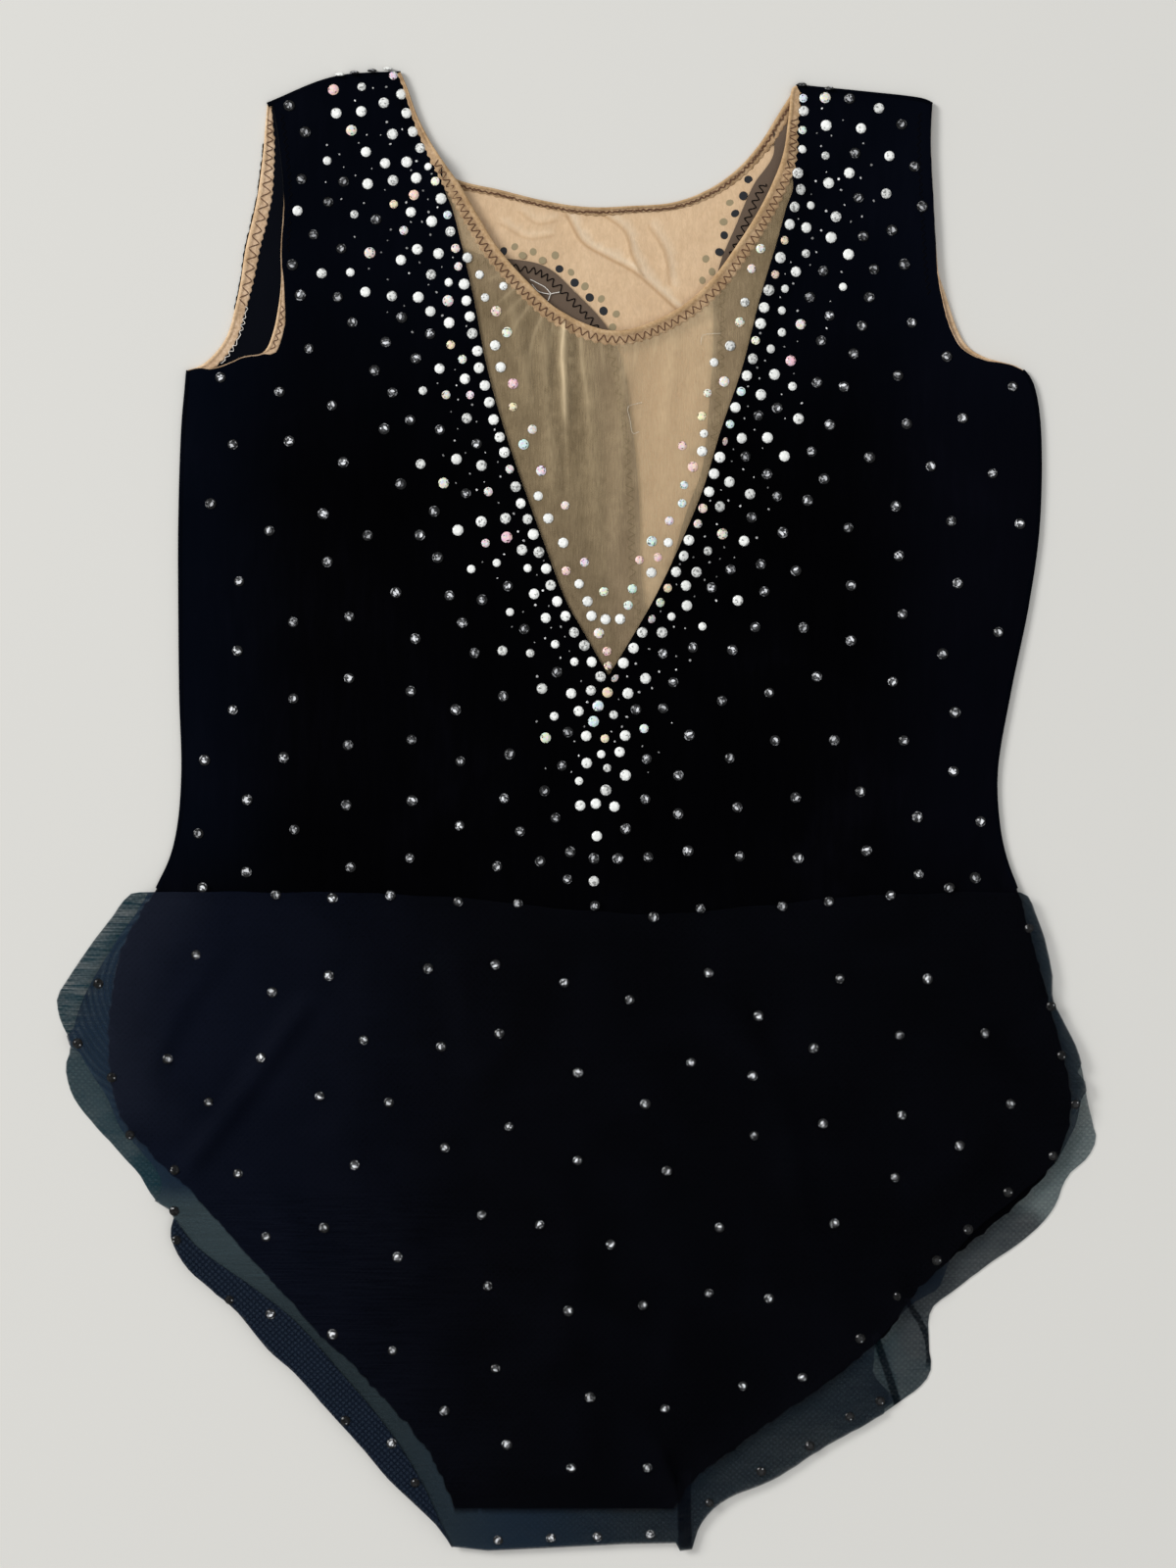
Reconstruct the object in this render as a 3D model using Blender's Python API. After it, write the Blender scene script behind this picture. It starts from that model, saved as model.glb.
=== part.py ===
"""A rhythmic gymnastics leotard, laid flat on its back.

The garment lies in the XY plane, shoulders towards +Y, its outer front face up.
Z = 0 is the surface it rests on. X = 0, Y = 0 is the middle of its box.
Sizes below are millimetres; the meshes are made in metres.

Every panel is a wall of cloth. All panels share one flat triangulation, so a
panel that lies on another one follows it point by point at a set distance.
"""

import bpy
import numpy as np
from mathutils import Vector, geometry

MM = 0.001

# ---------------------------------------------------------------- driving sizes
VELVET_WALL = 1.2      # stretch velvet, with its pile
NUDE_WALL = 1.0        # nude power mesh
BINDING_WALL = 1.4     # elastic folded into its binding
SKIRT_WALL = 1.0       # sheer skirt mesh
LAYER_GAP = 0.3        # between a cloth and the one that lies on it
SEAM_GAP = 0.3         # between two cloths that meet edge to edge
NECK_BINDING = 5.5     # width of the neck binding
ARM_BINDING = 5.5      # width of the binding on the back armholes
ARM_ROLL = 1.6         # what shows of it along the front armholes
ARM_TURN = 3.0         # how much more shows where the left one rolls over
LOFT = 2.2             # how far the front stands off the back in the middle
LOFT_RUN = 42.0        # distance over which it rises from the side folds
GRID = 15.5            # spacing of the points inside a panel
EDGE_STEP = 10.0       # spacing of the points along an outline
CLEAR = 5.5            # least distance from a grid point to an outline
HIP_LEVEL = -34.4      # height of the skirt seam at the side folds
HIP_DIP = 9.3          # how much lower it hangs at the middle front
HIP_DIP_AT = 30.0
HIP_DIP_WIDTH = 70.0
HIP_LEFT, HIP_RIGHT = -183.0, 189.6
SNAP = 2.6             # two skirt hems nearer than this share one line

# ------------------------------------------------------------------- tables, mm
# Side folds of the body, from the underarm down to the skirt seam.
BODY_SIDES = (
    # height, left, right
    (188.8, -166.5, 191.8),
    (181.0, -167.2, 195.4),
    (165.0, -168.6, 198.0),
    (123.0, -169.9, 197.6),
    (89.0, -169.9, 193.0),
    (50.0, -169.5, 185.0),
    (17.0, -168.6, 179.6),
    (-6.0, -170.3, 180.6),
    (-20.0, -173.6, 183.5),
    (-33.0, -179.6, 188.2),
)
# Leg openings, from the hip seam down to the crotch.
BRIEF = (
    # height, left, right
    (-52.0, -191.3, 194.0),
    (-70.0, -197.2, 198.8),
    (-93.0, -199.7, 204.8),
    (-118.0, -198.5, 210.8),
    (-133.0, -193.5, 210.4),
    (-147.0, -180.8, 206.0),
    (-164.0, -163.2, 192.5),
    (-184.0, -145.5, 168.9),
    (-204.0, -127.0, 146.5),
    (-223.0, -110.0, 132.5),
    (-240.0, -92.0, 113.0),
    (-256.0, -77.5, 90.0),
    (-272.0, -64.5, 68.0),
    (-285.0, -57.0, 51.0),
    (-297.5, -52.3, 41.4),
)
# Shoulder folds, from the armhole to the neck.
SHOULDERS = {
    # side: x and height at the arm, in the middle, at the neck
    "left": ((-132.5, 302.8), (-104.0, 314.0), (-75.4, 316.3)),
    "right": ((152.2, 302.8), (122.0, 307.6), (93.9, 310.6)),
}
# Armhole edges, from the shoulder down: x of each cloth.
ARMHOLE_LEFT = (
    # height, front, back
    (302.8, -127.6, -132.5),
    (282.0, -126.6, -134.3),
    (262.0, -125.4, -137.0),
    (240.0, -126.6, -142.0),
    (216.0, -127.6, -146.2),
    (204.0, -130.2, -149.6),
)
ARMHOLE_RIGHT = (
    # height, front, back
    (302.8, 152.2, 152.2),
    (286.0, 151.2, 152.4),
    (262.0, 150.5, 153.2),
    (240.0, 151.8, 154.8),
    (222.0, 154.4, 157.4),
    (208.0, 159.4, 162.4),
)
# Their curve out to the underarm.
ARMHOLE_FEET = {
    # side and cloth: x and height of each point
    ("left", "front"): ((-134.0, 196.6), (-142.6, 194.6), (-154.0, 190.0)),
    ("left", "back"): ((-154.0, 197.2), (-160.0, 191.6)),
    ("right", "front"): ((166.4, 198.6), (176.0, 193.9), (185.4, 191.3)),
    ("right", "back"): ((169.4, 200.6), (178.0, 195.6), (186.6, 192.6)),
}
# Necklines: outer edge of the binding.
NECK_FRONT = (
    # height, left, right
    (297.0, -67.9, 90.6),
    (281.0, -59.2, 88.2),
    (268.0, -50.0, 83.4),
    (255.0, -42.4, 76.7),
    (240.5, -33.4, 67.4),
    (226.0, -20.6, 56.4),
    (214.0, -7.0, 41.6),
)
NECK_FRONT_LOW = (16.0, 205.4)
NECK_BACK = (
    # x, height, from the left shoulder to the right one
    (-73.4, 295.3),
    (-66.4, 281.0),
    (-51.5, 270.9),
    (-33.0, 266.3),
    (-12.0, 261.2),
    (5.0, 258.9),
    (24.0, 259.4),
    (42.0, 261.0),
    (56.9, 266.7),
    (68.3, 274.7),
    (77.5, 284.8),
    (87.0, 299.6),
)
# The V cut out of the front velvet.
V_CUT = (
    # height, left, right
    (268.0, -57.0, 92.4),
    (257.5, -53.2, 89.4),
    (243.0, -49.4, 85.4),
    (219.0, -44.0, 78.2),
    (190.0, -38.4, 70.8),
    (163.0, -30.9, 61.6),
    (138.0, -22.5, 54.0),
    (112.5, -13.2, 43.5),
    (90.0, -4.6, 32.6),
    (74.0, 4.4, 23.4),
)
V_TIP = (13.6, 58.0)
# The lopsided cut-out of the back velvet.
BACK_CUT = (
    # height, left, right
    (282.0, -75.6, 84.4),
    (268.0, -72.6, 75.6),
    (250.0, -62.0, 67.8),
    (239.0, -43.0, 63.0),
    (233.5, -14.0, 61.1),
    (223.0, -1.5, 58.8),
    (207.0, 13.0, 58.6),
    (192.0, 19.5, 58.0),
    (171.0, 22.9, 56.4),
    (146.0, 25.8, 53.5),
    (129.0, 26.8, 47.2),
    (104.0, 27.4, 40.0),
)
BACK_TIP = (31.0, 76.0)
# Where each cut-out runs out into the neck opening.
CUT_MOUTHS = {
    # cloth: left, right
    "front": ((-57.0, 291.0), (83.0, 292.0)),
    "back": ((-66.0, 301.0), (81.0, 303.0)),
}
# Outer edge of the lower skirt, from the hip seam down to the hem.
SKIRT_BACK = (
    # height, left, right
    (-44.5, -198.5, 196.6),
    (-57.0, -208.1, 200.8),
    (-71.0, -217.4, 203.5),
    (-80.0, -222.6, 203.6),
    (-89.0, -221.3, 207.7),
    (-100.0, -216.9, 213.4),
    (-110.0, -219.0, 216.4),
    (-123.0, -215.2, 218.6),
    (-134.0, -206.9, 221.2),
    (-140.0, -201.4, 222.6),
    (-148.0, -194.3, 219.0),
    (-156.0, -187.0, 210.4),
    (-166.0, -181.0, 206.2),
    (-172.0, -172.6, 203.0),
    (-181.0, -173.7, 194.6),
    (-194.0, -167.6, 176.4),
    (-204.0, -157.0, 163.4),
    (-214.0, -145.2, 151.6),
    (-229.0, -133.0, 151.0),
    (-241.0, -119.8, 151.2),
    (-255.0, -107.3, 135.5),
    (-273.0, -91.0, 104.6),
    (-286.0, -80.0, 84.0),
    (-295.0, -70.4, 62.8),
    (-305.0, -60.0, 53.0),
)
SKIRT_HEM = (
    # x, height, from the left corner to the right one
    (-53.5, -314.5),
    (-38.0, -316.2),
    (-12.0, -315.0),
    (20.0, -313.4),
    (42.4, -313.0),
    (44.2, -316.4),
    (49.4, -315.8),
)
# The upper skirt, where it ends short of the lower one.
SKIRT_FRONT = (
    # height, left, right
    (-44.0, -188.5, 196.2),
    (-52.5, -195.1, 199.0),
    (-64.0, -202.2, 202.0),
    (-76.0, -209.0, 203.5),
    (-87.0, -213.6, 206.6),
    (-97.0, -216.0, 211.6),
    (-111.0, -208.2, 214.0),
    (-121.0, -201.0, 216.0),
    (-135.0, -195.4, 213.0),
    (-150.0, -182.0, 205.0),
    (-158.0, -176.8, 193.0),
    (-167.0, -179.0, 184.4),
    (-176.0, -173.0, 173.4),
    (-190.0, -170.0, 160.0),
    (-204.0, -157.0, 155.0),
    (-211.0, -148.4, 142.0),
    (-227.0, -135.0, 127.6),
    (-241.0, -119.8, 126.6),
    (-252.0, -110.0, 136.5),
    (-263.0, -100.0, 122.0),
)
# Folds, as ridges on one layer.
FOLDS = (
    # layer, from x, y, to x, y, bow, height, half width
    ("skirt", -112.0, -76.0, -168.0, -160.0, 0.0, 2.2, 7.0),
    ("skirt", 43.0, -66.0, 128.0, -232.0, 16.0, 2.4, 8.0),
    ("skirt", 133.0, -190.0, 130.0, -236.0, -2.0, 2.6, 6.0),
    ("skirt", 45.5, -264.0, 46.6, -312.0, 1.5, 4.2, 6.0),
    ("skirt", -164.0, -184.0, -66.0, -292.0, -4.0, 1.4, 8.0),
    ("front", -158.0, 180.0, -161.5, 106.0, 3.0, 1.8, 8.0),
    ("front", 105.0, 209.0, 166.0, 168.0, -7.0, 2.0, 8.0),
    ("front", 173.0, 168.0, 158.0, 112.0, 3.0, 1.6, 9.0),
    ("front", -121.0, 184.0, -96.0, 121.0, 0.0, 1.5, 9.0),
    ("front", -118.0, 259.0, -79.0, 264.0, 2.0, 1.2, 6.0),
    ("front", -104.0, 222.0, -66.0, 226.0, 2.0, 1.2, 6.0),
    ("front", -6.0, 190.0, -8.0, 120.0, 2.0, 1.4, 6.0),
)

# ------------------------------------------------------------------- materials
MATERIALS = {
    # name: colour, roughness
    "velvet": ((0.006, 0.006, 0.009), 0.85),
    "nude_mesh": ((0.52, 0.33, 0.19), 0.75),
    "binding": ((0.50, 0.29, 0.16), 0.70),
    "skirt_mesh": ((0.010, 0.016, 0.020), 0.70),
}


# -------------------------------------------------------------------- curves
def resampled(points, step):
    """The line through the points, cut into equal steps of about one length."""
    points = np.asarray(points, float)
    run = np.concatenate([[0], np.cumsum(np.linalg.norm(np.diff(points, axis=0), axis=1))])
    at = np.linspace(0, run[-1], max(1, round(run[-1] / step)) + 1)
    return np.stack([np.interp(at, run, points[:, k]) for k in (0, 1)], axis=1)


def smooth(points, step=EDGE_STEP):
    """A centripetal Catmull-Rom curve through the points, in equal steps."""
    p = np.asarray(points, float)
    p = np.vstack([2 * p[0] - p[1], p, 2 * p[-1] - p[-2]])
    fine = []
    for i in range(1, len(p) - 2):
        four = p[i - 1 : i + 3]
        t = np.cumsum([0, *np.sqrt(np.linalg.norm(np.diff(four, axis=0), axis=1))])
        for u in np.linspace(t[1], t[2], 8, endpoint=False):
            row = list(four)
            for level in (1, 2, 3):
                row = [
                    ((t[k + reach] - u) * row[k] + (u - t[k + base]) * row[k + 1]) / (t[k + reach] - t[k + base])
                    for k, (base, reach) in enumerate(knots(level))
                ]
            fine.append(row[0])
    fine.append(p[-2])
    return resampled(fine, step)


def knots(level):
    """Which knots each blend of a Catmull-Rom level runs between, counted from its own place."""
    return {1: [(0, 1)] * 3, 2: [(0, 2)] * 2, 3: [(1, 2)]}[level]


def side(table, column):
    """One side of a section table, as (x, height) points from the top down."""
    return [(row[column], row[0]) for row in table]


def moved(line, by):
    """The line moved to its left by a distance, or by one for each point."""
    line = np.asarray(line, float)
    along = np.gradient(line, axis=0)
    along /= np.linalg.norm(along, axis=1)[:, None]
    return line + np.stack([-along[:, 1], along[:, 0]], axis=1) * np.reshape(by, (-1, 1))


def stretched(line, by=3.0):
    """The line carried on straight at both ends, so that it crosses what it ends on."""
    first, last = line[0] - line[1], line[-1] - line[-2]
    return np.vstack(
        [line[0] + first / np.linalg.norm(first) * by, line, line[-1] + last / np.linalg.norm(last) * by]
    )


def chain(*lines):
    """Lines joined end to end into one closed outline, repeated points dropped."""
    out = []
    for line in lines:
        for point in np.asarray(line, float):
            if not out or np.linalg.norm(point - out[-1]) > 0.05:
                out.append(point)
    if np.linalg.norm(out[0] - out[-1]) <= 0.05:
        out.pop()
    return np.array(out)


def inside(points, outline):
    """Which points lie inside a closed outline."""
    x, y = points[:, 0], points[:, 1]
    found = np.zeros(len(points), bool)
    for (x0, y0), (x1, y1) in zip(outline, np.roll(outline, -1, axis=0)):
        if y0 != y1:
            crosses = (y0 > y) != (y1 > y)
            found ^= crosses & (x < x0 + (y - y0) * (x1 - x0) / (y1 - y0))
    return found


def distance(points, line):
    """How far each point is from an open line."""
    least = np.full(len(points), np.inf)
    for a, b in zip(line[:-1], line[1:]):
        ab = b - a
        t = np.clip(((points - a) @ ab) / max(ab @ ab, 1e-12), 0, 1)
        least = np.minimum(least, np.linalg.norm(points - (a + t[:, None] * ab), axis=1))
    return least


def ease(t):
    t = np.clip(t, 0, 1)
    return t * t * (3 - 2 * t)


def hip_line():
    """The skirt seam, from the left side fold to the right one."""
    x = np.linspace(HIP_LEFT, HIP_RIGHT, 38)
    return np.stack([x, HIP_LEVEL - HIP_DIP * np.exp(-(((x - HIP_DIP_AT) / HIP_DIP_WIDTH) ** 2))], axis=1)


def fold_line(x0, y0, x1, y1, bow):
    """The crest of a fold: a straight line, or one bowed to its left."""
    t = np.linspace(0, 1, max(3, round(np.hypot(x1 - x0, y1 - y0) / 9)) + 1)
    line = np.stack([x0 + (x1 - x0) * t, y0 + (y1 - y0) * t], axis=1)
    return moved(line, bow * 4 * t * (1 - t)) if bow else line


def fold_rise(points, layer):
    """How far the folds of a layer lift it at each point."""
    rise = np.zeros(len(points))
    for name, x0, y0, x1, y1, bow, height, half_width in FOLDS:
        if name != layer:
            continue
        line = fold_line(x0, y0, x1, y1, bow)
        away = np.clip(distance(points, line) / half_width, 0, 1)
        along = ((points - line[0]) @ (line[-1] - line[0])) / np.sum((line[-1] - line[0]) ** 2)
        ends = ease(along * 4 + 0.4) * ease((1 - along) * 4 + 0.4)
        rise += height * (1 - away**2) ** 2 * ends
    return rise


# ---------------------------------------------------------------- the outlines
def body_outline(shoulders, left_arm, below, right_arm, neck):
    left = [p for p in shoulders["left"][::-1] if p[0] > left_arm[0][0] + 4.0]
    right = [p for p in shoulders["right"] if p[0] < right_arm[0][0] - 4.0]
    return chain(left, left_arm, below, right_arm[::-1], right, neck[::-1])


def layout():
    """Every line that a panel ends on, and a test for each panel."""
    half = SEAM_GAP / 2
    shoulders = {name: smooth(points) for name, points in SHOULDERS.items()}
    left_side, right_side = smooth(side(BODY_SIDES, 1)), smooth(side(BODY_SIDES, 2))
    left_leg = smooth([left_side[-1]] + side(BRIEF, 1))
    right_leg = smooth([right_side[-1]] + side(BRIEF, 2))
    crotch = resampled([left_leg[-1], right_leg[-1]], EDGE_STEP)
    below = chain(left_side, left_leg, crotch, right_leg[::-1], right_side[::-1])
    neck_ends = shoulders["left"][-1], shoulders["right"][-1]
    necks = {
        "front": smooth(
            [neck_ends[0], *side(NECK_FRONT, 1), NECK_FRONT_LOW, *side(NECK_FRONT, 2)[::-1], neck_ends[1]], 8.0
        ),
        "back": smooth([neck_ends[0], *NECK_BACK, neck_ends[1]], 8.0),
    }
    lines, tests = [], {}
    for cloth, column in (("front", 1), ("back", 2)):
        arms = {}
        for name, table, end in (("left", ARMHOLE_LEFT, left_side[0]), ("right", ARMHOLE_RIGHT, right_side[0])):
            arms[name] = smooth([*side(table, column), *ARMHOLE_FEET[name, cloth], end])
        whole = body_outline(shoulders, arms["left"], below, arms["right"], necks[cloth])
        lines.append(np.vstack([whole, whole[:1]]))
        strips = {}
        for name, line, into, width in (
            ("left", arms["left"], 1, arm_width(arms["left"], "left", cloth)),
            ("right", arms["right"], -1, arm_width(arms["right"], "right", cloth)),
            ("neck", necks[cloth], -1, NECK_BINDING),
        ):
            inner = stretched(moved(line, into * (width - half)))
            panel = stretched(moved(line, into * (width + half)))
            lines += [inner, panel]
            outer = stretched(line)
            strips[name] = np.vstack([outer, inner[::-1]]), np.vstack([outer, panel[::-1]])
        table, tip = (V_CUT, V_TIP) if cloth == "front" else (BACK_CUT, BACK_TIP)
        mouth = CUT_MOUTHS[cloth]
        cut = np.vstack(
            [smooth([mouth[0], *side(table, 1), tip]), smooth([tip, *side(table, 2)[::-1], mouth[1]])[1:]]
        )
        inset_edge, velvet_edge = moved(cut, half), moved(cut, -half)
        lines += [inset_edge, velvet_edge]

        def bound(points, name, whole=whole, strips=strips):
            return inside(points, whole) & inside(points, strips[name][0])

        def free(points, whole=whole, strips=strips):
            kept = inside(points, whole)
            for _, seam in strips.values():
                kept &= ~inside(points, seam)
            return kept

        tests[f"{cloth}_bodice"] = lambda p, free=free, edge=velvet_edge: free(p) & ~inside(p, edge)
        tests[f"{cloth}_inset"] = lambda p, free=free, edge=inset_edge: free(p) & inside(p, edge)
        tests[f"neck_binding_{cloth}"] = lambda p, bound=bound: bound(p, "neck")
        tests[f"armhole_binding_left_{cloth}"] = lambda p, bound=bound: bound(p, "left") & ~bound(p, "neck")
        tests[f"armhole_binding_right_{cloth}"] = lambda p, bound=bound: bound(p, "right") & ~bound(p, "neck")
    lower, upper = skirts()
    for name, outline in (("skirt_back", lower), ("skirt_front", upper)):
        lines.append(np.vstack([outline, outline[:1]]))
        tests[name] = lambda p, outline=outline: inside(p, outline)
    sides = [np.vstack([below, below[:0]]), shoulders["left"], shoulders["right"]]
    return lines, tests, sides


def arm_width(line, name, cloth):
    """Width of the binding that shows along an armhole."""
    t = np.linspace(0, 1, len(line))
    if cloth == "back":
        return ARM_BINDING * (1 - 0.6 * ease((t - 0.75) / 0.25))
    if name == "left":
        return ARM_ROLL + ARM_TURN * ease((t - 0.35) / 0.25) * (1 - ease((t - 0.75) / 0.2))
    return np.full(len(line), ARM_ROLL)


def skirts():
    """Outlines of the lower and the upper skirt. Where they nearly meet they share one line."""
    hips = hip_line()
    lower, upper = [], []
    for column, end, sign in ((1, hips[0], -1), (2, hips[-1], 1)):
        hem_end = SKIRT_HEM[0] if column == 1 else SKIRT_HEM[-1]
        outer = smooth([end, *side(SKIRT_BACK, column), hem_end], 8.0)
        table = [end, *side(SKIRT_FRONT, column)]
        heights = [-y for _, y in table]
        within = outer.copy()
        reach = np.interp(-outer[:, 1], heights, [x for x, _ in table])
        ends_at = outer[:, 1] > table[-1][1]
        apart = sign * (outer[:, 0] - reach) > SNAP
        within[ends_at & apart, 0] = reach[ends_at & apart]
        lower.append(outer)
        upper.append(within)
    return [
        chain(hips[::-1], pair[0], SKIRT_HEM, pair[1][::-1])
        for pair in (lower, upper)
    ]


# ------------------------------------------------------------ the flat triangles
def triangulate(lines):
    """One flat triangulation that every line is an edge of."""
    points, edges = [], []
    for line in lines:
        start = len(points)
        points.extend(line)
        edges += [(start + i, start + i + 1) for i in range(len(line) - 1)]
    corners = np.array(points)
    low, high = corners.min(axis=0), corners.max(axis=0)
    extra = []
    for row in FOLDS:
        crest = fold_line(*row[1:6])
        extra += [crest, moved(crest, row[7]), moved(crest, -row[7])]
    extra = np.vstack(extra)
    nearest = np.min([distance(extra, line) for line in lines], axis=0)
    extra = extra[nearest > 3.2]
    kept = []
    for point in extra:
        if all(np.hypot(*(point - other)) > 3.5 for other in kept):
            kept.append(point)
    rows = np.arange(low[1], high[1], GRID * 0.866)
    grid = np.array(
        [(x, y) for i, y in enumerate(rows) for x in np.arange(low[0] + (i % 2) * GRID / 2, high[0], GRID)]
    )
    nearest = np.min([distance(grid, line) for line in lines], axis=0)
    grid = grid[nearest > CLEAR]
    if kept:
        kept = np.array(kept)
        apart = np.min(np.linalg.norm(grid[:, None] - kept[None], axis=2), axis=1)
        grid = grid[apart > 7.0]
        grid = np.vstack([grid, kept])
    points.extend(grid)
    flat, _, faces, _, _, _ = geometry.delaunay_2d_cdt([Vector(p) for p in points], edges, [], 0, 0.03, False)
    flat = np.array([(v[0], v[1]) for v in flat])
    faces = np.array([f for f in faces if len(f) == 3])
    a, b, c = (flat[faces[:, k]] for k in range(3))
    area = (b[:, 0] - a[:, 0]) * (c[:, 1] - a[:, 1]) - (b[:, 1] - a[:, 1]) * (c[:, 0] - a[:, 0])
    faces[area < 0] = faces[area < 0][:, ::-1]
    return flat, faces


# ------------------------------------------------------------------- the walls
def wall(name, flat, faces, bottom, top, material):
    """A closed wall of cloth over some of the flat triangles."""
    used = np.unique(faces)
    index = np.full(len(flat), -1)
    index[used] = np.arange(len(used))
    faces = index[faces]
    count = len(used)
    ends = np.concatenate([faces[:, [0, 1]], faces[:, [1, 2]], faces[:, [2, 0]]])
    known = {(int(a), int(b)) for a, b in ends}
    rim = [(a, b) for a, b in known if (b, a) not in known]
    points = np.vstack(
        [np.column_stack([flat[used], bottom[used]]), np.column_stack([flat[used], top[used]])]
    )
    skin = [tuple(int(i) + count for i in f) for f in faces]
    skin += [tuple(int(i) for i in f[::-1]) for f in faces]
    for a, b in sorted(rim):
        skin += [(a, b, b + count), (a, b + count, a + count)]
    mesh = bpy.data.meshes.new(name)
    mesh.from_pydata((points * MM).tolist(), [], skin)
    mesh.materials.append(material)
    mesh.update()
    obj = bpy.data.objects.new(name, mesh)
    bpy.context.scene.collection.objects.link(obj)
    return obj


def main():
    for obj in list(bpy.data.objects):
        bpy.data.objects.remove(obj)
    made = {}
    for name, (colour, roughness) in MATERIALS.items():
        material = bpy.data.materials.new(name)
        material.use_nodes = True
        shader = next(n for n in material.node_tree.nodes if n.type == "BSDF_PRINCIPLED")
        shader.inputs["Base Color"].default_value = (*colour, 1.0)
        shader.inputs["Roughness"].default_value = roughness
        shader.inputs["Metallic"].default_value = 0.0
        made[name] = material

    lines, tests, sides = layout()
    flat, faces = triangulate(lines)
    middle = flat[faces].mean(axis=1)
    from_side = np.min([distance(flat, line) for line in sides], axis=0)
    loft = LOFT * ease(from_side / LOFT_RUN) + fold_rise(flat, "front")
    none = np.zeros(len(flat))
    # each row is one layer: its pieces, and how far it stands off what is under it
    layers = (
        ((("skirt_back", SKIRT_WALL, "skirt_mesh"),), none),
        (
            (
                ("back_bodice", VELVET_WALL, "velvet"),
                ("back_inset", NUDE_WALL, "nude_mesh"),
                ("neck_binding_back", BINDING_WALL, "binding"),
                ("armhole_binding_left_back", BINDING_WALL, "binding"),
                ("armhole_binding_right_back", BINDING_WALL, "binding"),
            ),
            none,
        ),
        (
            (
                ("front_bodice", VELVET_WALL, "velvet"),
                ("front_inset", NUDE_WALL, "nude_mesh"),
                ("neck_binding_front", BINDING_WALL, "binding"),
                ("armhole_binding_left_front", BINDING_WALL, "binding"),
                ("armhole_binding_right_front", BINDING_WALL, "binding"),
            ),
            loft,
        ),
        ((("skirt_front", SKIRT_WALL, "skirt_mesh"),), fold_rise(flat, "skirt")),
    )
    ceiling = np.zeros(len(flat))
    for pieces, off in layers:
        above = ceiling.copy()
        for name, thick, material in pieces:
            chosen = faces[tests[name](middle)]
            used = np.unique(chosen)
            bottom = np.where(ceiling > 0, ceiling + LAYER_GAP, 0.0) + off
            top = bottom + thick
            wall(name, flat, chosen, bottom, top, made[material])
            above[used] = np.maximum(above[used], top[used])
        ceiling = above


main()
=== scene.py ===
"""A rhythmic gymnastics leotard laid flat, with its cloth, bindings, stitches and stones.

Sizes are millimetres until a mesh is made. X runs to the viewer's right, Y to
the shoulders, Z up out of the surface that the garment lies on.
"""

import math

import bpy
import numpy as np
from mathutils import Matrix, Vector, geometry, kdtree, noise
from mathutils.bvhtree import BVHTree


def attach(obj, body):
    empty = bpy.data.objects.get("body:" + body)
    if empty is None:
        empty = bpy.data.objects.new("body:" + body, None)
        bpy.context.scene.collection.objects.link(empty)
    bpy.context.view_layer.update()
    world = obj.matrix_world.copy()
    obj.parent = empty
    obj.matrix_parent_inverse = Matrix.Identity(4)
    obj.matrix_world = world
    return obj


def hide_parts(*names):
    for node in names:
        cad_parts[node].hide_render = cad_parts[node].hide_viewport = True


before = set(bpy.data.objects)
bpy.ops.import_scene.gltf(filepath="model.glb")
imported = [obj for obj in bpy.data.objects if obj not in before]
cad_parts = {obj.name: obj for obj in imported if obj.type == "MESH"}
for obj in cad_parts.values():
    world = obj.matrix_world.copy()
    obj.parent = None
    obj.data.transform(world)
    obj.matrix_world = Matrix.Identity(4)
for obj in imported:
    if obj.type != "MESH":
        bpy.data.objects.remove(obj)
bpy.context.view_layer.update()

MM = 0.001
PX = 0.42                      # millimetres for one step of the sizes read in the photograph's frame
rng = np.random.RandomState(20)

# ---------------------------------------------------------------- cloth sizes
GRID = 3.0
EDGE = 2.0
VELVET = 0.75                  # cloth thicknesses
NUDE = 0.35
SKIRT = 0.25
GAP = 0.25                     # between layers
LIFT = 1.0                     # the stones underneath hold the back panel up by this
LIFT_RUN = 14.0
LOFT = 2.2                     # the front stands off the back in the middle
LOFT_RUN = 42.0
NECK_BINDING = 5.5
ARM_BINDING = 5.5
TUCK = {"front": 3.0, "back": 8.0}   # how far the inset runs under the velvet's edge
# the panels end this far inside their binding
RAW = {("front", "left"): 0.35, ("front", "right"): 0.15, ("front", "neck"): 0.8,
       ("back", "left"): 0.8, ("back", "right"): 0.8, ("back", "neck"): 0.8}
HIP_LEVEL, HIP_DIP, HIP_DIP_AT, HIP_DIP_WIDTH = -34.4, 9.3, 30.0, 70.0
HIP_LEFT, HIP_RIGHT = -183.0, 189.6
SNAP = 2.6

# ------------------------------------------------------- tables, as in the cut
BODY_SIDES = (
    # height, left, right
    (188.8, -166.5, 191.0), (186.0, -166.8, 193.4), (181.0, -167.2, 195.6), (165.0, -168.6, 198.0), (123.0, -169.9, 197.6), (89.0, -169.9, 193.0),
    (50.0, -169.5, 185.0), (17.0, -168.6, 179.6), (-6.0, -170.3, 180.6), (-20.0, -173.6, 183.5),
    (-33.0, -179.6, 188.2),
)
BRIEF = (
    # height, left, right
    (-52.0, -191.3, 194.0), (-70.0, -197.2, 198.8), (-93.0, -199.7, 204.8), (-118.0, -198.5, 210.8),
    (-133.0, -193.5, 210.4), (-147.0, -180.8, 206.0), (-164.0, -163.2, 192.5), (-184.0, -145.5, 168.9),
    (-204.0, -127.0, 146.5), (-223.0, -110.0, 132.5), (-240.0, -92.0, 113.0), (-256.0, -77.5, 90.0),
    (-272.0, -64.5, 68.0), (-285.0, -57.0, 51.0), (-297.5, -52.3, 41.4),
)
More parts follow.
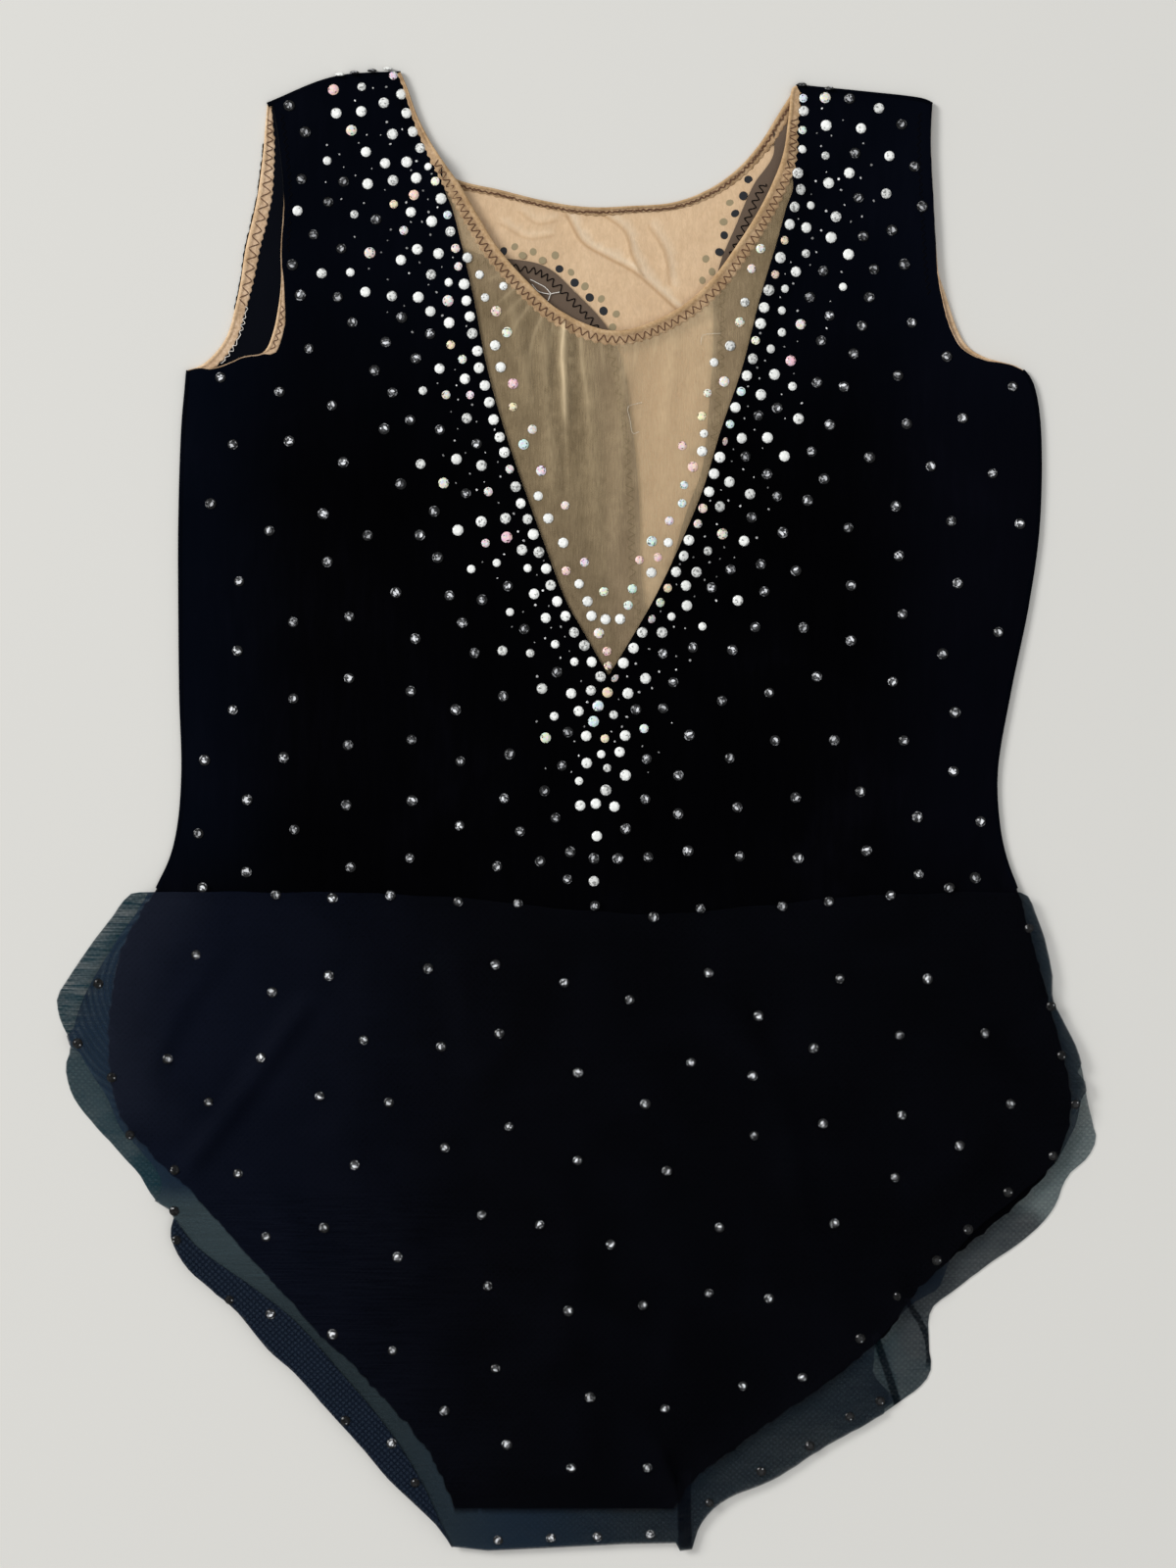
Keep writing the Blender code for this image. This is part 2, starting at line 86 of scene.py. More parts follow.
SHOULDERS = {
    "left": ((-132.5, 302.8), (-104.0, 314.0), (-75.4, 316.3)),
    "right": ((152.2, 302.8), (149.4, 304.3), (144.0, 305.4), (122.0, 307.8), (93.9, 310.6)),
}
ARMHOLES = {
    "left": (
        # height, front, back
        (302.8, -130.2, -132.5), (293.0, -128.4, -133.4), (282.0, -127.0, -134.3), (262.0, -125.4, -137.0),
        (240.0, -126.6, -142.0), (227.0, -126.4, -143.9), (216.0, -127.6, -146.2), (204.0, -130.2, -149.6),
    ),
    "right": (
        (302.8, 152.2, 151.6), (286.0, 151.6, 150.9), (262.0, 152.7, 151.8),
        (240.0, 153.9, 153.2), (230.0, 154.7, 155.0), (222.0, 156.0, 157.8), (208.0, 159.6, 162.4),
    ),
}
ARMHOLE_FEET = {
    ("left", "front"): ((-134.0, 196.4), (-142.6, 194.6), (-149.0, 191.8), (-156.2, 189.5), (-161.6, 190.0)),
    ("left", "back"): ((-154.0, 197.2), (-160.0, 191.6)),
    ("right", "front"): ((164.4, 198.7), (168.4, 195.8), (174.2, 193.4), (182.5, 192.0), (187.4, 190.8)),
    ("right", "back"): ((166.4, 200.3), (170.4, 196.8), (176.0, 194.1), (185.0, 191.6)),
}
NECK_FRONT = (
    # height, left, right
    (310.0, -72.6, 92.4), (297.0, -67.9, 90.6), (281.0, -59.2, 88.2), (268.0, -50.0, 83.4), (255.0, -42.4, 76.7),
    (240.5, -33.4, 67.4), (226.0, -20.6, 56.4), (214.0, -7.0, 41.6),
)
NECK_FRONT_LOW = (16.0, 205.4)
NECK_BACK = (
    # x, height
    (-73.4, 295.3), (-66.4, 281.0), (-51.5, 270.9), (-33.0, 266.3), (-12.0, 261.2), (5.0, 258.9),
    (24.0, 259.4), (42.0, 261.0), (56.9, 266.7), (68.3, 274.7), (77.5, 284.8), (87.0, 299.6),
)
V_CUT = (
    # height, left, right
    (268.0, -57.0, 92.4), (257.5, -53.2, 89.4), (243.0, -49.4, 85.4), (219.0, -44.0, 78.2),
    (190.0, -38.4, 70.8), (163.0, -30.9, 61.6), (138.0, -22.5, 54.0), (112.5, -13.2, 43.5),
    (90.0, -4.6, 32.6), (74.0, 4.4, 23.4),
)
V_TIP = (13.6, 58.0)
BACK_CUT = (
    # height, left, right
    (282.0, -75.6, 84.4), (268.0, -72.6, 75.6), (250.0, -62.0, 67.8), (239.0, -43.0, 63.0),
    (233.5, -14.0, 61.1), (223.0, -1.5, 58.8), (207.0, 13.0, 58.6), (192.0, 19.5, 58.0),
    (171.0, 22.9, 56.4), (146.0, 25.8, 53.5), (129.0, 26.8, 47.2), (104.0, 27.4, 40.0),
)
BACK_TIP = (31.0, 76.0)
CUT_MOUTHS = {
    "front": ((-57.0, 291.0), (83.0, 292.0)),
    "back": ((-66.0, 301.0), (81.0, 303.0)),
}
SKIRT_BACK = (
    # height, left, right
    (-35.6, -191.5, 192.6), (-44.5, -198.5, 196.6), (-57.0, -208.1, 200.8), (-71.0, -217.4, 203.5), (-80.0, -222.6, 203.6),
    (-89.0, -221.3, 207.7), (-100.0, -216.9, 213.4), (-110.0, -219.0, 216.4), (-123.0, -215.2, 218.6),
    (-134.0, -206.9, 221.2), (-140.0, -201.4, 222.6), (-148.0, -194.3, 219.0), (-156.0, -187.0, 210.4),
    (-166.0, -181.0, 206.2), (-172.0, -172.6, 203.0), (-181.0, -173.7, 194.6), (-194.0, -167.6, 176.4),
    (-204.0, -157.0, 163.4), (-214.0, -145.2, 151.6), (-229.0, -133.0, 151.0), (-241.0, -119.8, 151.2),
    (-255.0, -107.3, 135.5), (-273.0, -91.0, 104.6), (-286.0, -80.0, 84.0), (-295.0, -70.4, 62.8),
    (-305.0, -60.0, 53.0),
)
SKIRT_HEM = (
    # x, height
    (-53.5, -314.5), (-38.0, -316.2), (-12.0, -315.0), (20.0, -313.4), (42.4, -313.0),
    (44.2, -316.4), (49.4, -315.8),
)
SKIRT_FRONT = (
    # height, left, right
    (-44.0, -188.5, 196.2), (-52.5, -195.1, 199.0), (-64.0, -202.2, 202.0), (-76.0, -209.0, 203.5),
    (-87.0, -213.6, 206.6), (-97.0, -216.0, 211.6), (-111.0, -208.2, 214.0), (-121.0, -201.0, 216.0),
    (-135.0, -195.4, 213.0), (-150.0, -182.0, 205.0), (-158.0, -176.8, 196.0), (-167.0, -179.0, 185.4),
    (-176.0, -173.0, 173.4), (-190.0, -170.0, 160.0), (-204.0, -157.0, 155.0), (-211.0, -148.4, 142.0),
    (-227.0, -135.0, 127.6), (-241.0, -119.8, 126.6), (-252.0, -110.0, 136.5), (-263.0, -100.0, 122.0),
)
# Inner edge of the strip of skirt that is turned back at the lower left.
TURN_BACK = (
    # x, height
    (-172.0, -174.0), (-163.0, -185.6), (-137.1, -204.5), (-121.2, -217.1), (-102.3, -238.1),
    (-81.3, -263.3), (-66.6, -286.4), (-57.3, -306.2), (-52.0, -316.5),
)
# Creases: layer, height, half width, then the points of the crest.
CREASES = (
    ("front", 1.5, 5.0, ((290, 258), (318, 254), (348, 254), (383, 258))),
    ("front", 1.0, 4.0, ((324, 157), (355, 151), (383, 149))),
    ("front", 1.4, 5.0, ((348, 305), (371, 293), (405, 292), (442, 297))),
    ("front", 0.9, 4.5, ((346, 313), (350, 340), (348, 368))),
    ("front", 1.6, 10.0, ((300, 329), (308, 416), (332, 495), (355, 550))),
    ("front", 2.3, 6.0, ((224, 378), (209, 435), (203, 507), (199, 590))),
    ("front", 1.0, 6.0, ((403, 352), (371, 396), (387, 447))),
    ("front", 1.0, 4.0, ((807, 333), (840, 336), (877, 345))),
    ("front", 2.4, 6.0, ((835, 354), (861, 376), (908, 408), (942, 425))),
    ("front", 1.5, 5.0, ((932, 408), (971, 414), (999, 408))),
    ("front", 1.2, 4.5, ((892, 313), (936, 293))),
    ("front", 1.4, 5.0, ((948, 313), (971, 360), (987, 392))),
    ("front", 1.8, 9.0, ((1027, 396), (1007, 439), (989, 495), (981, 554))),
    ("front", 0.9, 12.0, ((400, 560), (430, 660), (420, 760))),
    ("front", 0.8, 13.0, ((870, 560), (850, 660), (880, 770))),
    ("front", 0.9, 8.0, ((240, 640), (262, 720), (250, 800))),
    ("front", 0.8, 8.0, ((985, 640), (965, 720), (975, 790))),
    ("front", 1.5, 3.6, ((575, 318), (576, 360), (577, 440))),
    ("front", 1.0, 4.0, ((556, 318), (557, 380), (566, 520))),
    ("front", 0.8, 5.0, ((600, 340), (606, 450), (615, 600))),
    ("front", 0.9, 4.5, ((640, 345), (634, 450), (625, 590))),
    ("front", 0.8, 4.0, ((520, 300), (532, 360), (545, 430))),
    ("front", 0.8, 4.0, ((690, 330), (684, 380), (676, 450))),
    ("front", 0.7, 3.4, ((720, 300), (728, 340), (722, 400))),
    ("back", 0.9, 2.8, ((579, 222), (594, 248), (620, 264), (646, 278), (672, 300), (692, 318))),
    ("back", 0.7, 2.6, ((616, 220), (638, 238), (645, 262), (656, 282))),
    ("back", 0.4, 2.4, ((530, 217), (548, 229), (568, 226))),
    ("back", 0.4, 2.4, ((512, 230), (538, 244), (562, 242))),
    ("back", 0.5, 2.6, ((662, 232), (678, 258), (683, 290))),
    ("skirt", 2.4, 6.0, ((323, 1011), (282, 1068), (243, 1124), (182, 1204))),
    ("skirt", 1.5, 10.0, ((318, 1134), (370, 1190), (422, 1261), (427, 1332))),
    ("skirt", 2.2, 7.0, ((678, 973), (749, 1035), (796, 1124), (824, 1252), (886, 1360))),
    ("skirt", 1.3, 5.0, ((777, 1143), (792, 1178), (805, 1209))),
    ("skirt", 2.2, 4.5, ((905, 1275), (923, 1327), (952, 1391))),
    ("skirt", 1.8, 3.6, ((897, 1374), (908, 1404), (918, 1432))),
    ("skirt", 3.8, 3.6, ((669, 1469), (685, 1506), (693, 1545), (699, 1584))),
    ("skirt", 1.6, 4.0, ((702, 1521), (749, 1473), (787, 1450), (843, 1407), (871, 1384))),
    ("skirt", 1.2, 9.0, ((470, 960), (480, 1060), (520, 1150))),
    ("skirt", 1.0, 10.0, ((560, 1180), (590, 1290), (575, 1400))),
    ("skirt", 1.2, 7.0, ((230, 960), (180, 1040), (150, 1100))),
    ("skirt", 1.2, 8.0, ((960, 960), (1000, 1050), (1020, 1130))),
    ("skirt", 1.0, 8.0, ((690, 1240), (700, 1330), (660, 1440))),
    ("skirt", 1.2, 4.0, ((92, 990), (84, 1020), (70, 1042))),
    ("skirt", 1.4, 4.0, ((1080, 1080), (1096, 1120), (1104, 1150))),
    ("under", 1.0, 5.0, ((120, 950), (90, 1000), (75, 1035))),
    ("under", 1.0, 5.0, ((100, 1120), (130, 1160), (150, 1190))),
    ("under", 1.2, 5.0, ((1075, 1060), (1100, 1110), (1108, 1150))),
)


# Fine folds where the front inset is gathered: strength of a painted highlight, then the points of the fold.
GATHERS = (
    (1.0, ((577, 330), (573, 360), (575, 390), (577, 440), (581, 520))), (0.6, ((556, 318), (545, 344), (540, 372), (544, 404))),
    (0.5, ((541, 312), (525, 336), (518, 362))), (0.5, ((525, 296), (508, 311), (499, 320))),
    (0.4, ((508, 283), (491, 290))), (0.6, ((592, 338), (594, 372), (599, 412), (600, 470))),
    (0.4, ((612, 342), (616, 374), (620, 402))), (0.4, ((649, 345), (646, 384), (640, 420))),
    (0.35, ((566, 326), (561, 352), (563, 392))), (0.35, ((534, 304), (514, 325), (506, 342))),
    (0.35, ((672, 332), (668, 358), (660, 400))),
)
# Small pleats pressed flat in the skirt: in the back layer too or not, half width, extra opacity, then the points of the middle.
PLEATS = (
    (True, 1.3, 0.32, ((893, 1363), (904, 1395), (916, 1432))),
    (True, 1.0, 0.30, ((924, 1325), (942, 1355), (948, 1376), (948, 1390))),
    (False, 2.6, 0.25, ((698, 1504), (698, 1545), (699, 1574))),
    (False, 1.1, 0.12, ((675, 1478), (685, 1490), (694, 1503))),
)
# The back skirt's lower right edge, which is turned under along this line.
TURNED_UNDER = ((940, 1362), (952, 1330), (985, 1296), (1040, 1262))


def px(x, y):
    """A place read in the photograph's frame, in millimetres."""
    return (x - 588.5) * PX, (828.0 - y) * PX


# -------------------------------------------------------------------- curves
def resampled(points, step):
    points = np.asarray(points, float)
    run = np.concatenate([[0], np.cumsum(np.linalg.norm(np.diff(points, axis=0), axis=1))])
    at = np.linspace(0, run[-1], max(1, round(run[-1] / step)) + 1)
    return np.stack([np.interp(at, run, points[:, k]) for k in (0, 1)], axis=1)


def smooth(points, step=EDGE):
    """A centripetal Catmull-Rom curve through the points, in equal steps."""
    p = np.asarray(points, float)
    p = np.vstack([2 * p[0] - p[1], p, 2 * p[-1] - p[-2]])
    knots = {1: [(0, 1)] * 3, 2: [(0, 2)] * 2, 3: [(1, 2)]}
    fine = []
    for i in range(1, len(p) - 2):
        four = p[i - 1 : i + 3]
        t = np.cumsum([0, *np.sqrt(np.linalg.norm(np.diff(four, axis=0), axis=1))])
        for u in np.linspace(t[1], t[2], 12, endpoint=False):
            row = list(four)
            for level in (1, 2, 3):
                row = [
                    ((t[k + far] - u) * row[k] + (u - t[k + near]) * row[k + 1]) / (t[k + far] - t[k + near])
                    for k, (near, far) in enumerate(knots[level])
                ]
            fine.append(row[0])
    fine.append(p[-2])
    return resampled(fine, step)


def side(table, column):
    return [(row[column], row[0]) for row in table]


def normals(line):
    """Unit vectors to the left of a line."""
    along = np.gradient(np.asarray(line, float), axis=0)
    along /= np.maximum(np.linalg.norm(along, axis=1), 1e-9)[:, None]
    return np.stack([-along[:, 1], along[:, 0]], axis=1)


def moved(line, by):
    return np.asarray(line, float) + normals(line) * np.reshape(by, (-1, 1))


def stretched(line, by=3.0):
    first, last = line[0] - line[1], line[-1] - line[-2]
    return np.vstack(
        [line[0] + first / np.linalg.norm(first) * by, line, line[-1] + last / np.linalg.norm(last) * by]
    )


def chain(*lines):
    out = []
    for line in lines:
        for point in np.asarray(line, float):
            if not out or np.hypot(*(point - out[-1])) > 0.05:
                out.append(point)
    if np.hypot(*(out[0] - out[-1])) <= 0.05:
        out.pop()
    return np.array(out)


def inside(points, outline):
    """Which points lie inside a closed outline."""
    points = np.asarray(points, float)
    order = np.argsort(points[:, 1], kind="stable")
    xs, ys = points[order, 0], points[order, 1]
    found = np.zeros(len(points), bool)
    for (x0, y0), (x1, y1) in zip(outline, np.roll(outline, -1, axis=0)):
        if y0 != y1:
            a, b = np.searchsorted(ys, (min(y0, y1), max(y0, y1)))
            found[a:b] ^= xs[a:b] < x0 + (ys[a:b] - y0) * (x1 - x0) / (y1 - y0)
    out = np.zeros(len(points), bool)
    out[order] = found
    return out


def distance(points, line, coarse=6.0):
    """How far each point is from an open line."""
    line = resampled(line, coarse) if coarse else np.asarray(line, float)
    least = np.full(len(points), np.inf)
    for a, b in zip(line[:-1], line[1:]):
        ab = b - a
        t = np.clip(((points - a) @ ab) / max(ab @ ab, 1e-12), 0, 1)
        away = points - (a + t[:, None] * ab)
        least = np.minimum(least, np.hypot(away[:, 0], away[:, 1]))
    return least


def ease(t):
    t = np.clip(t, 0, 1)
    return t * t * (3 - 2 * t)


def wobble(points, size, seed=0.0):
    """Smooth noise from -1 to 1 at each point, with bumps of about one size."""
    return np.array([noise.noise(Vector((p[0] / size, p[1] / size, seed))) for p in points])


def hip_line():
    x = np.linspace(HIP_LEFT, HIP_RIGHT, round((HIP_RIGHT - HIP_LEFT) / EDGE))
    y = HIP_LEVEL - HIP_DIP * np.exp(-(((x - HIP_DIP_AT) / HIP_DIP_WIDTH) ** 2))
    y += 0.35 * np.sin(x / 6.3) * np.sin(x / 23.0 + 1.0)
    return np.stack([x, y], axis=1)


def crease_rise(points, layer):
    """How far the creases of a layer lift it, with a faint trough along each."""
    rise = np.zeros(len(points))
    for name, height, half_width, crest in CREASES:
        if name != layer:
            continue
        line = smooth([px(*p) for p in crest], 3.0)
        least, along = np.full(len(points), np.inf), np.zeros(len(points))
        for i, (a, b) in enumerate(zip(line[:-1], line[1:])):
            ab = b - a
            t = np.clip(((points - a) @ ab) / max(ab @ ab, 1e-12), 0, 1)
            away = points - (a + t[:, None] * ab)
            d = np.hypot(away[:, 0], away[:, 1])
            nearer = d < least
            least[nearer] = d[nearer]
            along[nearer] = (i + t[nearer]) / (len(line) - 1)
        u = least / half_width
        shape = np.where(u < 1, (1 - u**2) ** 2, 0) - np.where((u >= 1) & (u < 2), 0.16 * np.sin(np.pi * (u - 1)), 0)
        rise += height * shape * ease(along * 5 + 0.15) * ease((1 - along) * 5 + 0.15)
    return rise


# ------------------------------------------------------------------ outlines
def layout():
    """The lines that the panels end on, an outline test for each panel, and the named edges."""
    shoulders = {name: smooth(points) for name, points in SHOULDERS.items()}
    left_side, right_side = smooth(side(BODY_SIDES, 1)), smooth(side(BODY_SIDES, 2))
    left_leg = smooth([left_side[-1]] + side(BRIEF, 1))
    right_leg = smooth([right_side[-1]] + side(BRIEF, 2))
    for k, leg in enumerate((left_leg, right_leg)):
        ragged = 0.9 * wobble(leg, 5.5, 4.0 + k) + 0.7 * wobble(leg, 2.3, 6.0 + k) + rng.uniform(-0.2, 0.2, len(leg))
        ragged[:2] = ragged[-2:] = 0
        leg[:] = moved(leg, ragged)
    crotch = resampled([left_leg[-1], right_leg[-1]], EDGE)
    below = chain(left_side, left_leg, crotch, right_leg[::-1], right_side[::-1])
    neck_ends = shoulders["left"][-1], shoulders["right"][-1]
    necks = {
        "front": smooth([neck_ends[0], *side(NECK_FRONT, 1), NECK_FRONT_LOW, *side(NECK_FRONT, 2)[::-1], neck_ends[1]]),
        "back": smooth([neck_ends[0], *NECK_BACK, neck_ends[1]]),
    }
    lines, tests, edges, bands = [], {}, {}, {}
    for cloth, column in (("front", 1), ("back", 2)):
        arms = {}
        for name, end in (("left", left_side[0]), ("right", right_side[0])):
            arms[name] = smooth([*side(ARMHOLES[name], column), *ARMHOLE_FEET[name, cloth], end])
        left = [p for p in shoulders["left"][::-1] if p[0] > arms["left"][0][0] + 4.0]
        right = [p for p in shoulders["right"] if p[0] < arms["right"][0][0] - 4.0]
        whole = chain(left, arms["left"], below, arms["right"][::-1], right, necks[cloth][::-1])
        lines.append(np.vstack([whole, whole[:1]]))
        trims = []
        for name, line, into in (("left", arms["left"], 1), ("right", arms["right"], -1), ("neck", necks[cloth], -1)):
            raw = stretched(moved(line, into * RAW[cloth, name]))
            lines.append(raw)
            trims.append(np.vstack([stretched(moved(line, -into * 1.5)), raw[::-1]]))
            bands[cloth, name] = line, into
        table, tip = (V_CUT, V_TIP) if cloth == "front" else (BACK_CUT, BACK_TIP)
        mouth = CUT_MOUTHS[cloth]
        cut = np.vstack([smooth([mouth[0], *side(table, 1), tip]), smooth([tip, *side(table, 2)[::-1], mouth[1]])[1:]])
        wide = moved(cut, -TUCK[cloth])
        lines += [cut, wide]
        edges[cloth] = cut

        def kept(points, whole=whole, trims=trims):
            found = inside(points, whole)
            for trim in trims:
                found &= ~inside(points, trim)
            return found

        tests[f"{cloth}_bodice"] = lambda p, kept=kept, cut=cut: kept(p) & ~inside(p, cut)
        tests[f"{cloth}_inset"] = lambda p, kept=kept, wide=wide: kept(p) & inside(p, wide)
        tests[f"{cloth}_whole"] = lambda p, whole=whole: inside(p, whole)
    hips = hip_line()
    lower, upper = [], []
    for column, end, sign in ((1, hips[0], -1), (2, hips[-1], 1)):
        hem_end = SKIRT_HEM[0] if column == 1 else SKIRT_HEM[-1]
        outer = smooth([end, *side(SKIRT_BACK, column), hem_end], 2 * EDGE)
        table = [end, *side(SKIRT_FRONT, column)]
        within = outer.copy()
        reach = np.interp(-outer[:, 1], [-y for _, y in table], [x for x, _ in table])
        short = (outer[:, 1] > table[-1][1]) & (sign * (outer[:, 0] - reach) > SNAP)
        within[short, 0] = reach[short]
        ragged = 0.3 * wobble(outer, 3.0, column)
        ragged[0] = ragged[-1] = 0
        lower.append(outer + normals(outer) * ragged[:, None])
        upper.append(within + normals(within) * ragged[:, None])
    outlines = {
        "skirt_back": chain(hips[::-1], lower[0], SKIRT_HEM, lower[1][::-1]),
        "skirt_front": chain(hips[::-1], upper[0], SKIRT_HEM, upper[1][::-1]),
    }
    for name, outline in outlines.items():
        lines.append(np.vstack([outline, outline[:1]]))
        tests[name] = lambda p, outline=outline: inside(p, outline)
    lines += [moved(hips, -1.3)[2:-2], moved(hips, -2.6)[3:-3]]
    turn = smooth(TURN_BACK)
    lines.append(turn)
    beyond = chain(turn, [(-75.0, -340.0), (-260.0, -340.0), (-260.0, -160.0)])
    tests["turned"] = lambda p: inside(p, outlines["skirt_front"]) & inside(p, beyond)
    edges.update(
        hips=hips, left_side=left_side, right_side=right_side, left_leg=left_leg, right_leg=right_leg,
        left_shoulder=shoulders["left"], right_shoulder=shoulders["right"], crotch=crotch,
        skirt_left=lower[0], skirt_right=lower[1], hem=np.array(SKIRT_HEM), turn=turn,
        skirt_front_left=upper[0], skirt_front_right=upper[1],
        neck_front=necks["front"], neck_back=necks["back"],
        arm_left=bands["back", "left"][0], arm_right=bands["back", "right"][0],
    )
    return lines, tests, edges, bands


def triangulate(lines, tests):
    """One flat triangulation that every line is an edge of."""
    points, edges = [], []
    for line in lines:
        start = len(points)
        points.extend(line)
        edges += [(start + i, start + i + 1) for i in range(len(line) - 1)]
    near = kdtree.KDTree(len(points))
    for i, p in enumerate(points):
        near.insert((p[0], p[1], 0), i)
    near.balance()
    low, high = np.min(points, axis=0), np.max(points, axis=0)
    rows = np.arange(low[1], high[1], GRID * 0.866)
    grid = np.array([(x, y) for i, y in enumerate(rows) for x in np.arange(low[0] + (i % 2) * GRID / 2, high[0], GRID)])
    grid += rng.uniform(-0.12, 0.12, grid.shape) * GRID
    wanted = tests["front_whole"](grid) | tests["back_whole"](grid) | tests["skirt_back"](grid)
    grid = grid[wanted]
    apart = np.array([near.find((p[0], p[1], 0))[2] for p in grid])
    points.extend(grid[apart > GRID * 0.5])
    flat, _, faces, _, _, _ = geometry.delaunay_2d_cdt([Vector(p) for p in points], edges, [], 0, 0.03, False)
    flat = np.array([(v[0], v[1]) for v in flat])
    faces = np.array([f for f in faces if len(f) == 3])
    a, b, c = (flat[faces[:, k]] for k in range(3))
    area = (b[:, 0] - a[:, 0]) * (c[:, 1] - a[:, 1]) - (b[:, 1] - a[:, 1]) * (c[:, 0] - a[:, 0])
    faces[area < 0] = faces[area < 0][:, ::-1]
    return flat, faces[np.abs(area) > 1e-4]


# --------------------------------------------------------------------- meshes
def add_object(name, points, faces, materials, smooth_angle=None, tones=None, masks=None):
    mesh = bpy.data.meshes.new(name)
    mesh.from_pydata((np.asarray(points) * MM).tolist(), [], [tuple(int(i) for i in f) for f in faces])
    for material in materials:
        mesh.materials.append(material)
    if smooth_angle is not None:
        mesh.shade_smooth()
        mesh.set_sharp_from_angle(angle=math.radians(smooth_angle))
    for label, table in (("tone", tones), ("mask", masks)):
        if table is not None:
            kind, values = table
            layer = mesh.color_attributes.new(label, "FLOAT_COLOR", "POINT" if kind == "point" else "CORNER")
            values = np.column_stack([values, np.ones(len(values))])
            layer.data.foreach_set("color", values.astype(np.float32).ravel())
    mesh.update()
    obj = bpy.data.objects.new(name, mesh)
    bpy.context.scene.collection.objects.link(obj)
    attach(obj, "root")
    return obj


def wall(flat, faces, bottom, top):
    """Points and faces of a closed thin wall of cloth over some of the flat triangles."""
    used = np.unique(faces)
    index = np.full(len(flat), -1)
    index[used] = np.arange(len(used))
    faces = index[faces]
    count = len(used)
    ends = np.concatenate([faces[:, [0, 1]], faces[:, [1, 2]], faces[:, [2, 0]]])
    code = ends[:, 0] * count + ends[:, 1]
    lone = ends[~np.isin(code, ends[:, 1] * count + ends[:, 0])]
    points = np.vstack([np.column_stack([flat[used], bottom[used]]), np.column_stack([flat[used], top[used]])])
    a, b = lone[:, 0], lone[:, 1]
    skin = np.vstack(
        [faces + count, faces[:, ::-1], np.stack([a, b, b + count], axis=1), np.stack([a, b + count, a + count], axis=1)]
    )
    return points, skin, used


def flat_area(flat, faces):
    a, b, c = (flat[faces[:, k]] for k in range(3))
    return 0.5 * np.abs(
        (b[:, 0] - a[:, 0]) * (c[:, 1] - a[:, 1]) - (b[:, 1] - a[:, 1]) * (c[:, 0] - a[:, 0])
    ).sum()


def relaxed(level, faces, rounds):
    """A cloth laid over a level: it bridges the steps in it, as a light sheet does."""
    used = np.zeros(len(level), bool)
    used[np.unique(faces)] = True
    pairs = np.concatenate([faces[:, [0, 1]], faces[:, [1, 2]], faces[:, [2, 0]]])
    pairs = np.vstack([pairs, pairs[:, ::-1]])
    count = np.maximum(np.bincount(pairs[:, 0], minlength=len(level)), 1)
    z = level.copy()
    for _ in range(rounds):
        mean = np.bincount(pairs[:, 0], weights=z[pairs[:, 1]], minlength=len(level)) / count
        z = np.where(used, np.maximum(level, mean), level)
    return z


class Surface:
    """Heights and normals of a cloth, read at any place."""

    def __init__(self, flat, faces, z):
        self.tree = BVHTree.FromPolygons(np.column_stack([flat, z]).tolist(), faces.tolist())

    def at(self, x, y):
        hit, normal, _, _ = self.tree.ray_cast(Vector((x, y, 100.0)), Vector((0, 0, -1)))
        if hit is None:
            hit, normal, _, _ = self.tree.find_nearest(Vector((x, y, 2.0)))
        if normal.z < 0:
            normal = -normal
        return hit.z, normal

    def heights(self, points):
        return np.array([self.at(p[0], p[1])[0] for p in points])


# A binding's section: how far in from its edge, and how far above the cloth it is sewn over.
ROLLED = (
    (0.0, -0.30), (0.02, 0.12), (0.22, 0.48), (0.62, 0.68), (1.15, 0.66), (1.70, 0.46), (2.05, 0.24),
    (2.7, 0.28), (3.4, 0.32), (4.2, 0.30), (4.9, 0.24), (5.35, 0.10), (5.5, -0.10), (5.3, -0.62), (0.4, -0.85),
)
# How much of the darker stitched zone's colour each place of the section has, against the roll's colour, which is
# painted lighter as a highlight on the rolled crest; the stitched zone is also darker from its stains and threads.
STITCHED = (0.3, 0.1, 0.0, 0.0, 0.0, 0.25, 1.0, 0.95, 0.8, 0.75, 0.85, 1.0, 1.0, 1.0, 0.5)


def along_edge(size, at):
    """A size that may change along an edge, given as one number or as rows of (place from 0 to 1, size)."""
    if isinstance(size, tuple):
        return np.interp(at, [place for place, _ in size], [value for _, value in size])
    return np.full(np.shape(at), float(size))


